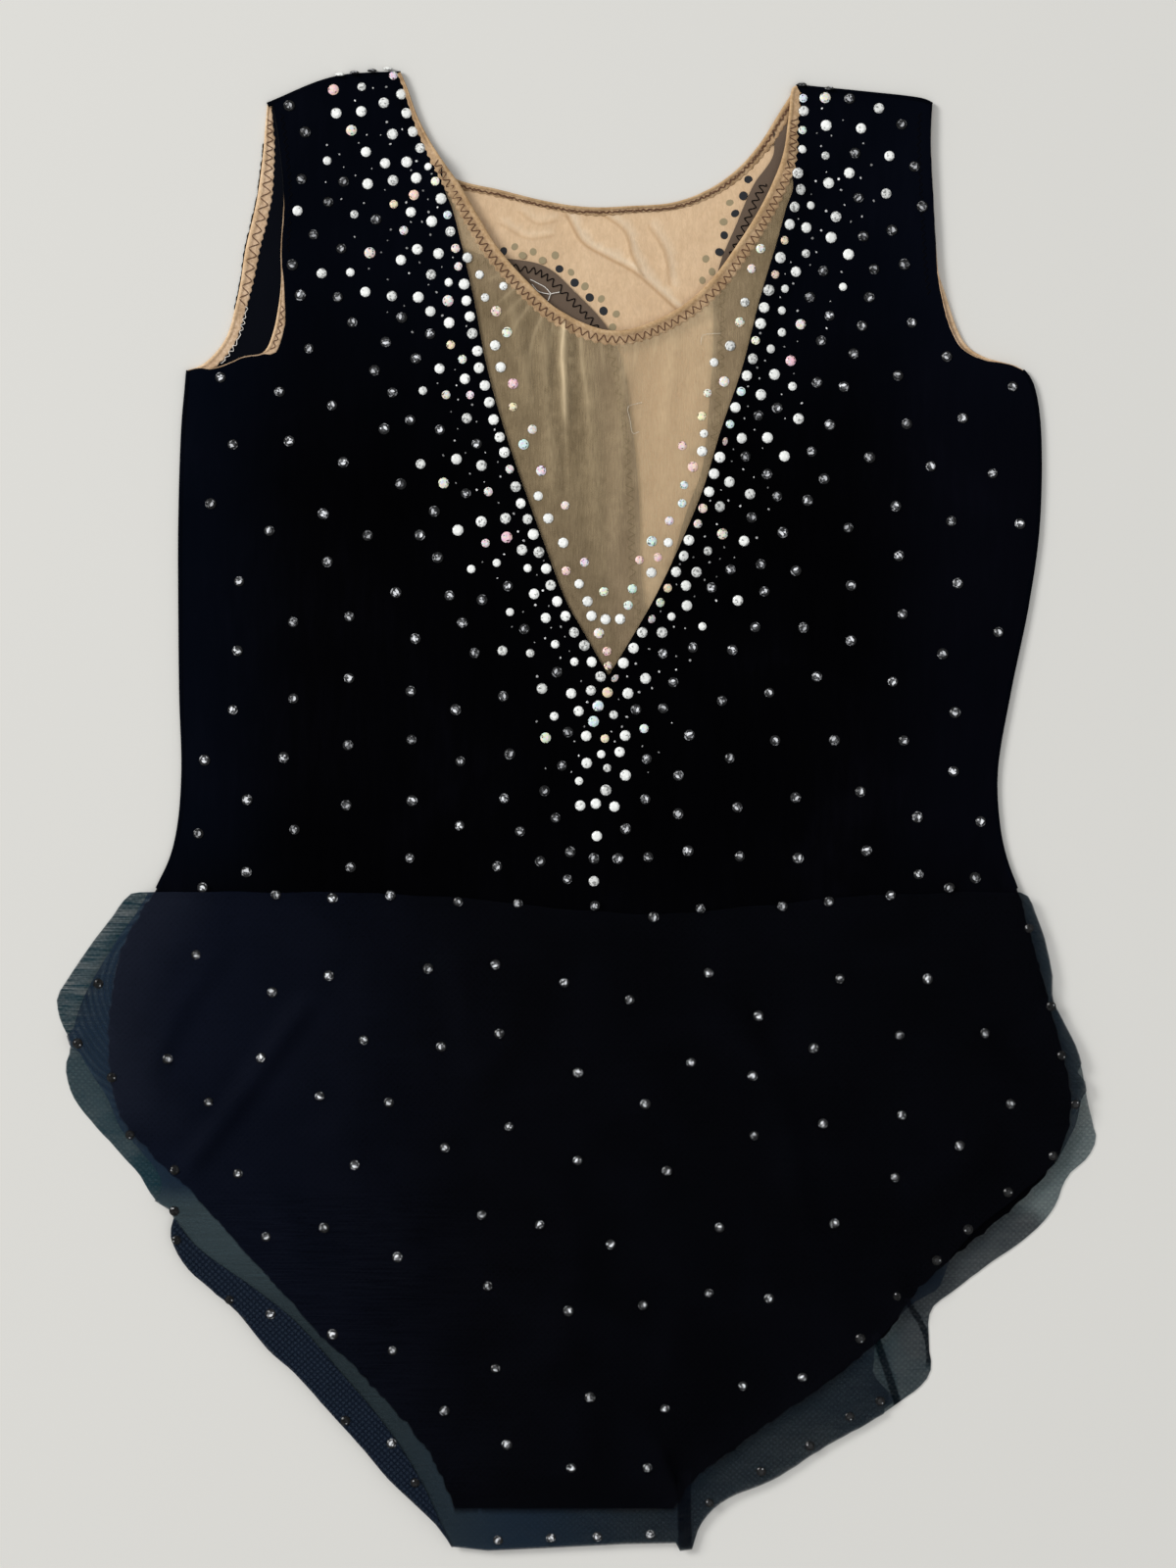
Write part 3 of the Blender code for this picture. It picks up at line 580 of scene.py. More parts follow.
def band(line, into, width, surface, wave=0.10, seed=0.0, teeth=0.0, pitch=3.3):
    """A folded elastic swept along an edge, seated on the cloth it binds, its stitched side pulled into teeth."""
    line = resampled(line, 0.8 if teeth else 1.6)
    n = normals(line) * into
    width = along_edge(width, np.linspace(0, 1, len(line)))
    run = np.linspace(0, 1, len(line)) * np.linalg.norm(np.diff(line, axis=0), axis=1).sum()
    tooth = teeth * np.sin(2 * math.pi * run / pitch + 1.5 * wobble(line, 14.0, seed + 1.0)) * np.clip(width / 5.0, 0, 1)
    near = surface.heights(line + n * np.minimum(1.6, width * 0.6)[:, None])
    far = surface.heights(line + n * np.maximum(width, 2.2)[:, None])
    kernel = np.array([1, 2, 3, 2, 1]) / 9.0
    near = np.convolve(np.pad(near, 2, mode="edge"), kernel, mode="valid")
    far = np.convolve(np.pad(far, 2, mode="edge"), kernel, mode="valid")
    slope = (far - near) / np.maximum(np.maximum(width, 2.2) - np.minimum(1.6, width * 0.6), 0.5)
    points = []
    shift = wave * wobble(line, 2.6, seed)
    for i, p in enumerate(line):
        squeeze = width[i] / ROLLED[12][0]
        for k, (reach, rise) in enumerate(ROLLED):
            offset = reach * (squeeze if squeeze >= 1 else squeeze ** (1 if reach > 1 else 0.6))
            inner = (1.4 * shift[i] + tooth[i]) * ease((reach - 4) / 1.5) if reach > 4 else 0.0
            q = p + n[i] * (offset + inner + 0.3 * shift[i])
            level = near[i] + slope[i] * (offset - min(1.6, width[i] * 0.6))
            points.append((q[0], q[1], max(level + rise * min(1.0, 0.45 + squeeze), 0.05) + 0.4 * shift[i] * (rise > 0)))
    ring = len(ROLLED)
    faces = []
    for i in range(len(line) - 1):
        for k in range(ring):
            a, b = i * ring + k, i * ring + (k + 1) % ring
            faces.append((a, b, b + ring, a + ring))
    faces.append(tuple(range(ring))[::-1])
    faces.append(tuple(range((len(line) - 1) * ring, len(line) * ring)))
    if into > 0:
        faces = [f[::-1] for f in faces]
    return points, faces


def folded_edge(line, into, high, low, bulge=0.75, grip=1.2):
    """The rounded fold where the front runs on into the back."""
    line = resampled(line, 1.8)
    n = normals(line) * into
    inner = line + n * 1.0
    top, bottom = high.heights(inner), low.heights(inner)
    points, faces = [], []
    for i, p in enumerate(line):
        tall = top[i] - bottom[i]
        section = (
            (grip, top[i] + 0.02), (0.25, top[i] + 0.03), (-0.35 * bulge, top[i] - 0.10 * tall), (-0.85 * bulge, top[i] - 0.3 * tall),
            (-bulge, bottom[i] + 0.5 * tall), (-0.85 * bulge, bottom[i] + 0.3 * tall), (-0.35 * bulge, bottom[i] + 0.10 * tall),
            (0.25, bottom[i] - 0.03), (grip, bottom[i] - 0.02),
        )
        for reach, z in section:
            q = p + n[i] * reach
            points.append((q[0], q[1], max(z, 0.04)))
    ring = 9
    for i in range(len(line) - 1):
        for k in range(ring):
            a, b = i * ring + k, i * ring + (k + 1) % ring
            faces.append((a, b, b + ring, a + ring))
    faces.append(tuple(range(ring))[::-1])
    faces.append(tuple(range((len(line) - 1) * ring, len(line) * ring)))
    if into < 0:
        faces = [f[::-1] for f in faces]
    return points, faces


def joined(parts):
    points, faces = [], []
    for some, more in parts:
        start = len(points)
        points.extend([tuple(p) for p in some])
        faces.extend([tuple(int(i) + start for i in f) for f in more])
    return points, faces


def thread(path, radius, sides=5):
    """A thin round thread through points in space."""
    path = np.asarray(path, float)
    along = np.gradient(path, axis=0)
    along /= np.maximum(np.linalg.norm(along, axis=1), 1e-9)[:, None]
    across = np.stack([-along[:, 1], along[:, 0], np.zeros(len(path))], axis=1)
    across /= np.maximum(np.linalg.norm(across, axis=1), 1e-9)[:, None]
    up = np.cross(along, across)
    up *= np.where(up[:, 2] < 0, -1, 1)[:, None]
    points, faces = [], []
    for p, a, u in zip(path, across, up):
        for k in range(sides):
            turn = 2 * math.pi * k / sides
            points.append(p + radius * (a * math.cos(turn) + u * math.sin(turn) * 0.8))
    for i in range(len(path) - 1):
        for k in range(sides):
            a, b = i * sides + k, i * sides + (k + 1) % sides
            faces.append((a, b, b + sides, a + sides))
    faces.append(tuple(range(sides))[::-1])
    faces.append(tuple(range((len(path) - 1) * sides, len(path) * sides)))
    return points, faces


def zigzag(line, into, offset, reach, period, surface, above, radius=0.17, looseness=0.25, seed=0, span=(0, 1)):
    """A zigzag thread along an edge, at a set distance in from it."""
    dice = np.random.RandomState(seed)
    fine = resampled(line, 0.3)
    n = normals(fine) * into
    place = np.linspace(0, 1, len(fine))
    kept = (place >= span[0]) & (place <= span[1])
    fine, n, place = fine[kept], n[kept], place[kept]
    run = np.concatenate([[0], np.cumsum(np.linalg.norm(np.diff(fine, axis=0), axis=1))])
    stops = [0.0]
    while stops[-1] < run[-1]:
        half = 0.5 * float(along_edge(period, np.interp(stops[-1], run, place)))
        stops.append(stops[-1] + half * dice.uniform(1 - 0.3 * looseness, 1 + 0.3 * looseness))
    swing = np.array([(1 if k % 2 else -1) * dice.uniform(1 - 0.6 * looseness, 1.05) for k in range(len(stops))])
    at = np.arange(0, run[-1], 0.33)
    x = np.interp(at, stops, swing)
    x = np.sign(x) * np.abs(x) ** 0.8
    base = np.stack([np.interp(at, run, fine[:, k]) for k in (0, 1)], axis=1)
    nn = np.stack([np.interp(at, run, n[:, k]) for k in (0, 1)], axis=1)
    place = np.interp(at, run, place)
    flatwise = base + nn * (along_edge(offset, place) + x * along_edge(reach, place))[:, None]
    z = surface.heights(flatwise) + above
    return thread(np.column_stack([flatwise, z]), radius, 4)


# --------------------------------------------------------------------- stones
def brilliant():
    """A faceted stone of radius 1 and height 1: points, faces and each face's kind."""
    def ring(count, radius, z, turn=0.0):
        return [
            (radius * math.cos(2 * math.pi * (k + turn) / count), radius * math.sin(2 * math.pi * (k + turn) / count), z)
            for k in range(count)
        ]

    points = ring(16, 0.94, 0.0) + ring(16, 1.0, 0.28) + ring(8, 0.80, 0.70, 0.5) + ring(8, 0.54, 1.0) + [(0.0, 0.0, 1.0)]
    base, girdle, middle, table = 0, 16, 32, 40
    faces, kinds = [tuple(range(16))[::-1]], ["base"]
    for k in range(16):
        faces.append((base + k, base + (k + 1) % 16, girdle + (k + 1) % 16, girdle + k))
        kinds.append("side")
    for k in range(8):
        g0, g1, g2 = girdle + 2 * k, girdle + 2 * k + 1, girdle + (2 * k + 2) % 16
        m0, m1 = middle + k, middle + (k + 1) % 8
        t0, t1 = table + k, table + (k + 1) % 8
        faces += [(g0, g1, m0), (g1, g2, m0), (g2, m1, m0), (m0, m1, t1), (m0, t1, t0)]
        kinds += ["crown", "crown", "bezel", "star", "kite"]
    for k in range(8):
        faces.append((table + k, table + (k + 1) % 8, 48))
        kinds.append("table")
    return np.array(points), faces, kinds


def fleck():
    """A tiny eight-sided stone."""
    points = [(math.cos(2 * math.pi * k / 8), math.sin(2 * math.pi * k / 8), 0.0) for k in range(8)]
    points += [(0.72 * math.cos(2 * math.pi * (k + 0.5) / 8), 0.72 * math.sin(2 * math.pi * (k + 0.5) / 8), 0.8) for k in range(8)]
    faces, kinds = [tuple(range(8))[::-1]], ["base"]
    for k in range(8):
        faces += [(k, (k + 1) % 8, 8 + k), ((k + 1) % 8, 8 + (k + 1) % 8, 8 + k)]
        kinds += ["crown", "crown"]
    faces.append(tuple(8 + k for k in range(8)))
    kinds.append("table")
    return np.array(points), faces, kinds


HUES = {
    "pink": (0.92, 0.50, 0.58), "peach": (0.95, 0.62, 0.42), "yellow": (0.93, 0.86, 0.45),
    "mint": (0.62, 0.90, 0.78), "sky": (0.74, 0.86, 0.93), "white": (0.95, 0.95, 0.93),
}


def facet_tones(kind, kinds, dice, points, faces, dim):
    """A colour for each facet of one stone, with glints, reflections and a dark rim painted into the facets."""
    out = []
    glint = dice.uniform(0, 2 * math.pi)
    level = dice.uniform(0.0, 1.0)
    lit = dice.randint(0, 8)
    tables = stars = 0
    names = list(HUES)
    first, second = HUES[names[dice.randint(0, 5)]], HUES[names[dice.randint(0, 6)]]
    for name, face in zip(kinds, faces):
        turn = math.atan2(sum(points[i][1] for i in face), sum(points[i][0] for i in face))
        # facets turned toward a random glint direction are painted lighter, as a painted reflection
        facing = 0.5 + 0.5 * math.cos(turn - glint)
        if name == "base":
            tone = (0.04, 0.04, 0.045)
        elif kind == "clear":
            grey = {"side": 0.12, "crown": 0.84, "bezel": 0.93, "star": 0.96, "kite": 0.94, "table": 0.98}[name]
            grey *= dice.uniform(0.84, 1.04)
            if name != "side" and dice.uniform() < 0.05 + 0.22 * (level < 0.35):
                grey *= 0.40
            if name == "crown":
                # crown facets are painted lighter on the side toward the glint
                grey *= 0.45 + 0.58 * facing
            grey *= 0.72 + 0.28 * min(1.0, 1.6 * level)
            tone = (grey * 0.985, grey, grey * 0.97)
        elif kind == "ab":
            mix = dice.uniform(0, 1)
            tone = [a * mix + b * (1 - mix) for a, b in zip(first, second)]
            if name == "side":
                tone = [0.18 * t for t in tone]
            elif name == "table":
                tone = [(0.40 + 0.58 * t) * dice.uniform(0.72, 1.05) for t in tone]
            elif dice.uniform() < 0.16:
                tone = [0.16 * t for t in tone]
            else:
                tone = [(0.25 + 0.75 * t) * dice.uniform(0.75, 1.05) for t in tone]
        elif kind == "fleck":
            grey = (0.45 + 0.55 * facing) * (0.3 + 0.7 * level) * dice.uniform(0.6, 1.2)
            tone = (grey, grey, grey)
        elif kind == "jet":
            grey = 0.002 if name in ("side", "crown") else 0.003 + 0.015 * dice.uniform() ** 2
            # one kite facet gets a painted glint
            if name == "kite":
                grey += 0.40 * dim * (stars == lit)
                stars += 1
            tone = (grey, grey * 1.02, grey * 1.06)
        else:
            # painted glints: dark round the rim, with some facets painted lit and a bright middle
            if name == "side":
                grey = 0.005
            elif name == "crown":
                grey = 0.010 + (0.55 if facing > 0.90 else 0.0) * dice.uniform(0.1, 1.0)
            elif name == "bezel":
                grey = 0.012 + 0.04 * dice.uniform() ** 2 + (0.30 if dice.uniform() < 0.10 else 0.0)
            elif name == "table":
                grey = dice.uniform(0.75, 1.0) if (tables - lit) % 8 < 3 or dice.uniform() < 0.15 else dice.uniform(0.03, 0.22)
                tables += 1
            else:
                grey = 0.012 + 0.02 * dice.uniform() + (0.75 * dice.uniform(0.3, 1.0) if dice.uniform() < 0.20 else 0.0)
            grey *= dim * (0.45 + 0.55 * level)
            tone = (grey, grey * 1.02, grey * 1.06)
        out.append(tuple(min(1.0, max(0.0, t)) for t in tone))
    return out


def stones(name, rows, kind, material, dice):
    """All the stones of one kind as one mesh. A row is x, y, z, normal, radius, height."""
    template, faces, kinds = fleck() if kind == "fleck" else brilliant()
    points, skins, tones = [], [], []
    for x, y, z, normal, radius, height in rows:
        normal = Vector(normal)
        if kind == "fleck":
            normal += Vector((dice.uniform(-0.35, 0.35), dice.uniform(-0.35, 0.35), 0))
        normal.normalize()
        spin = dice.uniform(0, 2 * math.pi)
        tilt = Vector((0, 0, 1)).rotation_difference(normal).to_matrix()
        turn = np.array([[math.cos(spin), -math.sin(spin), 0], [math.sin(spin), math.cos(spin), 0], [0, 0, 1]])
        oval = dice.uniform(0.6, 1.0) if kind == "fleck" else 1.0
        placed = (template * (radius, radius * oval, height)) @ turn.T @ np.array(tilt).T + (x, y, z)
        start = len(points) * len(template)
        points.append(placed)
        colours = facet_tones(kind, kinds, dice, (template @ turn.T).tolist(), faces, 0.55 if y > 228.0 else 1.0)
        for face, tone in zip(faces, colours):
            skins.append(tuple(i + start for i in face))
            tones.extend([tone] * len(face))
    return add_object(name, np.vstack(points), skins, [material], tones=("corner", np.array(tones)))


# ------------------------------------------------------------------ materials
class Maker:
    """A node material and short ways to add to it."""

    def __init__(self, name, colour, roughness, **sockets):
        self.material = bpy.data.materials.new(name)
        self.material.use_nodes = True
        self.tree = self.material.node_tree
        self.shader = next(n for n in self.tree.nodes if n.type == "BSDF_PRINCIPLED")
        self.set("Base Color", (*colour, 1.0))
        self.set("Roughness", roughness)
        for key, value in sockets.items():
            self.set(key.replace("_", " "), value)
        self.place = self.node("ShaderNodeTexCoord").outputs["Object"]

    def set(self, socket, value):
        self.shader.inputs[socket].default_value = value

    def node(self, kind, **values):
        made = self.tree.nodes.new(kind)
        for key, value in values.items():
            setattr(made, key, value)
        return made

    def link(self, a, b):
        self.tree.links.new(a, b)

    def scaled(self, x, y, z, turn=0.0, shift=(0.0, 0.0, 0.0)):
        made = self.node("ShaderNodeMapping")
        made.inputs["Scale"].default_value = (x, y, z)
        made.inputs["Rotation"].default_value = (0, 0, turn)
        made.inputs["Location"].default_value = shift
        self.link(self.place, made.inputs["Vector"])
        return made.outputs["Vector"]

    def noise(self, vector, detail=2.0, rough=0.5, distortion=0.0):
        made = self.node("ShaderNodeTexNoise")
        made.inputs["Scale"].default_value = 1.0
        made.inputs["Detail"].default_value = detail
        made.inputs["Roughness"].default_value = rough
        made.inputs["Distortion"].default_value = distortion
        self.link(vector, made.inputs["Vector"])
        return made.outputs["Fac"]

    def wave(self, vector, bands="X", distortion=0.0, detail=0.0, detail_scale=1.0, rings=False):
        made = self.node("ShaderNodeTexWave")
        made.wave_type = "RINGS" if rings else "BANDS"
        if rings:
            made.rings_direction = "Z"
        else:
            made.bands_direction = bands
        made.inputs["Scale"].default_value = 1.0
        made.inputs["Distortion"].default_value = distortion
        made.inputs["Detail"].default_value = detail
        made.inputs["Detail Scale"].default_value = detail_scale
        self.link(vector, made.inputs["Vector"])
        return made.outputs["Fac"]

    def ramp(self, value, *stops):
        made = self.node("ShaderNodeValToRGB")
        while len(made.color_ramp.elements) < len(stops):
            made.color_ramp.elements.new(0.5)
        for element, (at, colour) in zip(made.color_ramp.elements, stops):
            element.position = at
            element.color = (*colour, 1.0) if len(colour) == 3 else colour
        self.link(value, made.inputs["Fac"])
        return made.outputs["Color"]

    def math(self, operation, a, b, clamp=False):
        made = self.node("ShaderNodeMath", operation=operation, use_clamp=clamp)
        for socket, value in zip(made.inputs, (a, b)):
            if isinstance(value, (int, float)):
                socket.default_value = value
            else:
                self.link(value, socket)
        return made.outputs[0]

    def fit(self, value, low, high, to_low=0.0, to_high=1.0):
        made = self.node("ShaderNodeMapRange", clamp=True)
        made.inputs["From Min"].default_value = low
        made.inputs["From Max"].default_value = high
        made.inputs["To Min"].default_value = to_low
        made.inputs["To Max"].default_value = to_high
        self.link(value, made.inputs["Value"])
        return made.outputs["Result"]

    def mix(self, factor, a, b, blend="MIX"):
        made = self.node("ShaderNodeMix", data_type="RGBA", blend_type=blend)
        for socket, value in ((made.inputs["Factor"], factor), (made.inputs[6], a), (made.inputs[7], b)):
            if isinstance(value, (int, float)):
                socket.default_value = value
            elif isinstance(value, tuple):
                socket.default_value = (*value, 1.0)
            else:
                self.link(value, socket)
        return made.outputs[2]

    def tone(self):
        return self.node("ShaderNodeAttribute", attribute_name="tone").outputs["Color"]

    def masks(self, label="mask"):
        split = self.node("ShaderNodeSeparateColor")
        self.link(self.node("ShaderNodeAttribute", attribute_name=label).outputs["Color"], split.inputs[0])
        return split.outputs

    def bump(self, height, strength, depth):
        made = self.node("ShaderNodeBump")
        made.inputs["Strength"].default_value = strength
        made.inputs["Distance"].default_value = depth
        self.link(height, made.inputs["Height"])
        self.link(made.outputs["Normal"], self.shader.inputs["Normal"])

    def colour(self, value):
        self.link(value, self.shader.inputs["Base Color"])

    def sheer(self, opacity):
        """How much of what lies behind is hidden, with the far face of the thin wall left out."""
        facing = self.node("ShaderNodeNewGeometry").outputs["Backfacing"]
        front = self.math("SUBTRACT", 1.0, facing)
        self.link(self.math("MULTIPLY", front, opacity, True), self.shader.inputs["Alpha"])


def velvet_material():
    m = Maker("velvet", (0.002, 0.002, 0.003), 0.95, Specular_IOR_Level=0.015, Sheen_Weight=0.07, Sheen_Roughness=0.18)
    m.set("Sheen Tint", (0.60, 0.56, 0.90, 1.0))
    broad = m.noise(m.scaled(14, 11, 20), 3.0, 0.55, 0.6)
    streak = m.noise(m.scaled(260, 40, 60), 3.0, 0.6)
    shade = m.ramp(m.math("ADD", m.math("MULTIPLY", broad, 0.75), m.math("MULTIPLY", streak, 0.25)),
                   (0.34, (0.0002, 0.0002, 0.0004)), (0.56, (0.0006, 0.0006, 0.0011)), (0.72, (0.0013, 0.0013, 0.0024)))
    # the tone attribute adds a painted bluish sheen on the front velvet and its folds, and the pale inner side on the
    # back
    m.colour(m.mix(1.0, shade, m.tone(), "ADD"))
    pile = m.noise(m.scaled(1500, 1500, 1500), 2.0, 0.7)
    nap = m.noise(m.scaled(120, 60, 90), 4.0, 0.6)
    m.bump(m.math("ADD", m.math("MULTIPLY", pile, 0.35), nap), 0.30, 0.0009)
    return m.material


def skirt_material(name, turned=False):
    """Sheer mesh: fine crinkles along its ribs, a dotted weave, and rings where two layers lie together."""
    m = Maker(name, (0.003, 0.005, 0.008), 0.75, Specular_IOR_Level=0.03)
    crinkle = m.noise(m.scaled(58, 1450, 60, 0.06), 3.0, 0.6, 0.2)
    fine = m.noise(m.scaled(900, 1500, 900), 2.0, 0.6)
    weave = m.math("MULTIPLY", m.wave(m.scaled(230, 230, 230), "DIAGONAL"), m.wave(m.scaled(-230, 230, 230), "DIAGONAL"))
    cloud = m.noise(m.scaled(26, 26, 26), 2.0, 0.5, 0.8)
    moire = m.wave(m.scaled(116, 100, 1, 0.0, (20.9, 7.4, 0.0)), distortion=2.6, detail=1.0, detail_scale=0.7, rings=True)
    shade = m.ramp(cloud, (0.3, (0.0006, 0.0008, 0.0017)), (0.7, (0.0014, 0.0017, 0.0034)))
    if turned:
        shade = m.mix(m.fit(weave, 0.05, 0.6), (0.0055, 0.0095, 0.0190), (0.0175, 0.0265, 0.0430))
        m.colour(shade)
        m.sheer(m.math("ADD", m.fit(crinkle, 0.33, 0.70, 0.60, 0.78), m.fit(fine, 0.3, 0.7, -0.03, 0.03)))
    else:
        rings, streaks, opacity = m.masks()[:3]
        flicker = m.math("MULTIPLY", m.fit(moire, 0.0, 1.0, -0.5, 0.5), rings)
        # the tone attribute adds the skirt's tint, with a painted sheen toward the left on the velvet and a painted
        # shade in the pleats
        colour = m.mix(1.0, shade, m.tone(), "ADD")
        m.colour(m.mix(m.math("MULTIPLY", flicker, 1.6, True), colour, m.mix(1.0, colour, (1.9, 1.8, 1.7), "MULTIPLY")))
        hidden = m.math("ADD", opacity, m.math("MULTIPLY", m.fit(crinkle, 0.33, 0.70, -0.26, 0.20), streaks))
        hidden = m.math("ADD", hidden, m.math("ADD", m.fit(fine, 0.3, 0.7, -0.035, 0.035), m.fit(weave, 0.0, 0.8, 0.03, -0.05)))
        hidden = m.math("SUBTRACT", hidden, m.math("MULTIPLY", flicker, 0.34))
        m.sheer(m.math("ADD", hidden, m.fit(cloud, 0.3, 0.7, -0.03, 0.03)))
    m.bump(m.math("ADD", m.math("MULTIPLY", crinkle, 0.8), m.math("MULTIPLY", weave, 0.4)), 0.15, 0.0006)
    return m.material


def nude_material(name, pale, deep, light, dark, low, high, ridge, ribbing, ribbing_bend=0.0):
    """Nude power mesh: fine upright ribs, soft mottling and a little see-through."""
    m = Maker(name, pale, 0.78, Specular_IOR_Level=0.25, Sheen_Weight=0.10, Sheen_Roughness=0.5)
    m.set("Sheen Tint", (1.0, 0.9, 0.78, 1.0))
    ribs = m.noise(m.scaled(*ribbing), 3.0, 0.62, ribbing_bend)
    mottle = m.math("ADD", m.math("MULTIPLY", m.noise(m.scaled(52, 34, 40), 4.0, 0.62, 0.5), 0.55),
                    m.math("MULTIPLY", m.noise(m.scaled(170, 140, 140), 3.0, 0.6, 0.4), 0.45))
    rib_shade = m.fit(ribs, 0.25, 0.75, 0.0, 1.0)
    cloth = m.mix(m.math("ADD", m.math("MULTIPLY", rib_shade, ridge), m.fit(mottle, 0.34, 0.66, 0.0, 1.0 - ridge)), deep, pale)
    # the tone attribute's red mixes in the light colour, a painted highlight on folds and creases that also gives the
    # paler look of mesh over skin; its green mixes in the dark colour, a painted shade along creases and a darkening
    # lower down; its blue adds opacity
    split = m.node("ShaderNodeSeparateColor")
    m.link(m.tone(), split.inputs[0])
    cloth = m.mix(split.outputs[0], cloth, light)
    m.colour(m.mix(split.outputs[1], cloth, dark))
    solid = m.math("ADD", m.fit(mottle, 0.35, 0.65, -0.05, 0.05), m.math("MULTIPLY", split.outputs[2], 0.5))
    m.sheer(m.math("ADD", m.fit(ribs, 0.3, 0.7, low, high), solid))
    m.bump(m.math("ADD", ribs, m.math("MULTIPLY", mottle, 0.6)), 0.35, 0.0005)
    return m.material


def binding_material():
    m = Maker("binding", (0.56, 0.33, 0.18), 0.66, Specular_IOR_Level=0.25, Sheen_Weight=0.04, Sheen_Roughness=0.4)
    m.set("Sheen Tint", (1.0, 0.88, 0.75, 1.0))
    knit = m.noise(m.scaled(900, 900, 900), 3.0, 0.6)
    patch = m.noise(m.scaled(120, 120, 120), 3.0, 0.6)
    both = m.math("ADD", m.math("MULTIPLY", knit, 0.5), m.math("MULTIPLY", patch, 0.5))
    roll = m.ramp(both, (0.36, (0.37, 0.225, 0.105)), (0.5, (0.47, 0.305, 0.157)), (0.64, (0.57, 0.395, 0.225)))
    flat_zone = m.ramp(both, (0.36, (0.27, 0.165, 0.082)), (0.5, (0.38, 0.245, 0.133)), (0.64, (0.50, 0.345, 0.205)))
    split = m.masks("tone")
    # the roll is painted lighter than the stitched zone, as a painted highlight on its crest, and the stitched zone is
    # partly darker from stains
    cloth = m.mix(split[0], roll, flat_zone)
    cloth = m.mix(split[1], cloth, m.mix(1.0, cloth, (1.40, 1.50, 1.76), "MULTIPLY"))
    m.colour(m.mix(split[2], cloth, (0.0012, 0.0014, 0.0030)))
    m.bump(knit, 0.6, 0.0004)
    return m.material


def stone_material():
    m = Maker("crystal", (0.9, 0.9, 0.9), 0.10, Specular_IOR_Level=0.16)
    m.colour(m.tone())
    return m.material


def thread_material(name, colour, gloss=0.3):
    m = Maker(name, colour, 0.7, Specular_IOR_Level=gloss)
    fibre = m.noise(m.scaled(1400, 1400, 1400), 2.0, 0.6)
    m.colour(m.mix(m.fit(fibre, 0.3, 0.7, 0.0, 1.0), tuple(0.65 * c for c in colour), tuple(min(1.0, 1.25 * c) for c in colour)))
    m.bump(fibre, 0.4, 0.0002)
    return m.material


def glue_material():
    m = Maker("stone_backs", (0.1, 0.1, 0.1), 0.35, Specular_IOR_Level=0.4)
    m.colour(m.tone())
    return m.material


# ---------------------------------------------------------------------- build
lines, tests, edges, bands = layout()
lines += [moved(edges["left_leg"], -0.6), moved(edges["right_leg"], 0.6)]
pleats = [(smooth([px(*p) for p in crest]), half, extra, both) for both, half, extra, crest in PLEATS]
for line, half, _, _ in pleats:
    lines += [moved(line, by) for by in (-half - 0.6, -half, half, half + 0.6)]
gathers = [(smooth([px(*p) for p in crest]), strength) for strength, crest in GATHERS]
slacks = [(smooth([px(*p) for p in crest]), height) for layer, height, _, crest in CREASES if layer == "back"]
for line, _ in gathers + slacks:
    lines += [moved(line, by) for by in (-2.3, -1.1, 0.0, 1.1, 2.3)]
flat, faces = triangulate(lines, tests)
middle = flat[faces].mean(axis=1)
chosen = {name: faces[test(middle)] for name, test in tests.items()}

outer = [edges[k] for k in ("left_side", "right_side", "left_shoulder", "right_shoulder", "skirt_left", "skirt_right",
                            "hem", "neck_back", "arm_left", "arm_right")]
from_outer = np.min([distance(flat, line) for line in outer], axis=0)
base = 0.06 + (LIFT - 0.06) * ease(from_outer / LIFT_RUN)
from_side = np.min(
    [distance(flat, edges[k]) for k in ("left_side", "right_side", "left_leg", "right_leg", "left_shoulder", "right_shoulder", "crotch")],
    axis=0,
)
broad = wobble(flat, 62.0, 3.1) * 0.55 + wobble(flat, 27.0, 8.4) * 0.22
front_rise = LOFT * ease(from_side / LOFT_RUN) + crease_rise(flat, "front") + (broad + 0.35) * ease(from_side / 18.0)
back_rise = crease_rise(flat, "back")
hip_near = distance(flat, edges["hips"], 2.0)
skirt_rise = crease_rise(flat, "skirt") + 0.55 * (1 - ease(hip_near / 2.6))
skirt_rise += (wobble(flat, 44.0, 5.5) + 0.7) * 0.45 * ease(from_outer / 20.0) * ease(hip_near / 25.0)
skirt_rise += 0.10 * wobble(flat * (0.25, 1.0), 3.2, 2.0) * ease(from_outer / 6.0)
under_rise = crease_rise(flat, "under") + 0.25 * (wobble(flat, 40.0, 9.0) + 0.8) * ease(from_outer / 16.0)
for rise in (front_rise, skirt_rise, under_rise, back_rise):
    np.maximum(rise, 0.0, out=rise)

velvet, skirt_mesh, skirt_turned = velvet_material(), skirt_material("skirt_mesh"), skirt_material("skirt_mesh_turned", True)
nude_front = nude_material(
    "nude_mesh_front", (0.56, 0.422, 0.245), (0.40, 0.285, 0.150), (0.82, 0.65, 0.41), (0.26, 0.19, 0.12), 0.36, 0.48, 0.50,
    (2100, 150, 200, 0.02),
)
nude_back = nude_material(
    "nude_mesh_back", (0.77, 0.555, 0.352), (0.71, 0.475, 0.270), (0.87, 0.70, 0.50), (0.46, 0.26, 0.112), 0.76, 0.89, 0.35,
    (760, 300, 300, 0.5), 0.8,
)
binding = binding_material()
crystal = stone_material()
brown, white, black = (
    thread_material("thread_brown", (0.125, 0.055, 0.028)),
    thread_material("thread_white", (0.80, 0.76, 0.70)),
    thread_material("thread_black", (0.0015, 0.0015, 0.0025), 0.03),
)
backs = glue_material()

ceiling = np.zeros(len(flat))
levels = {}


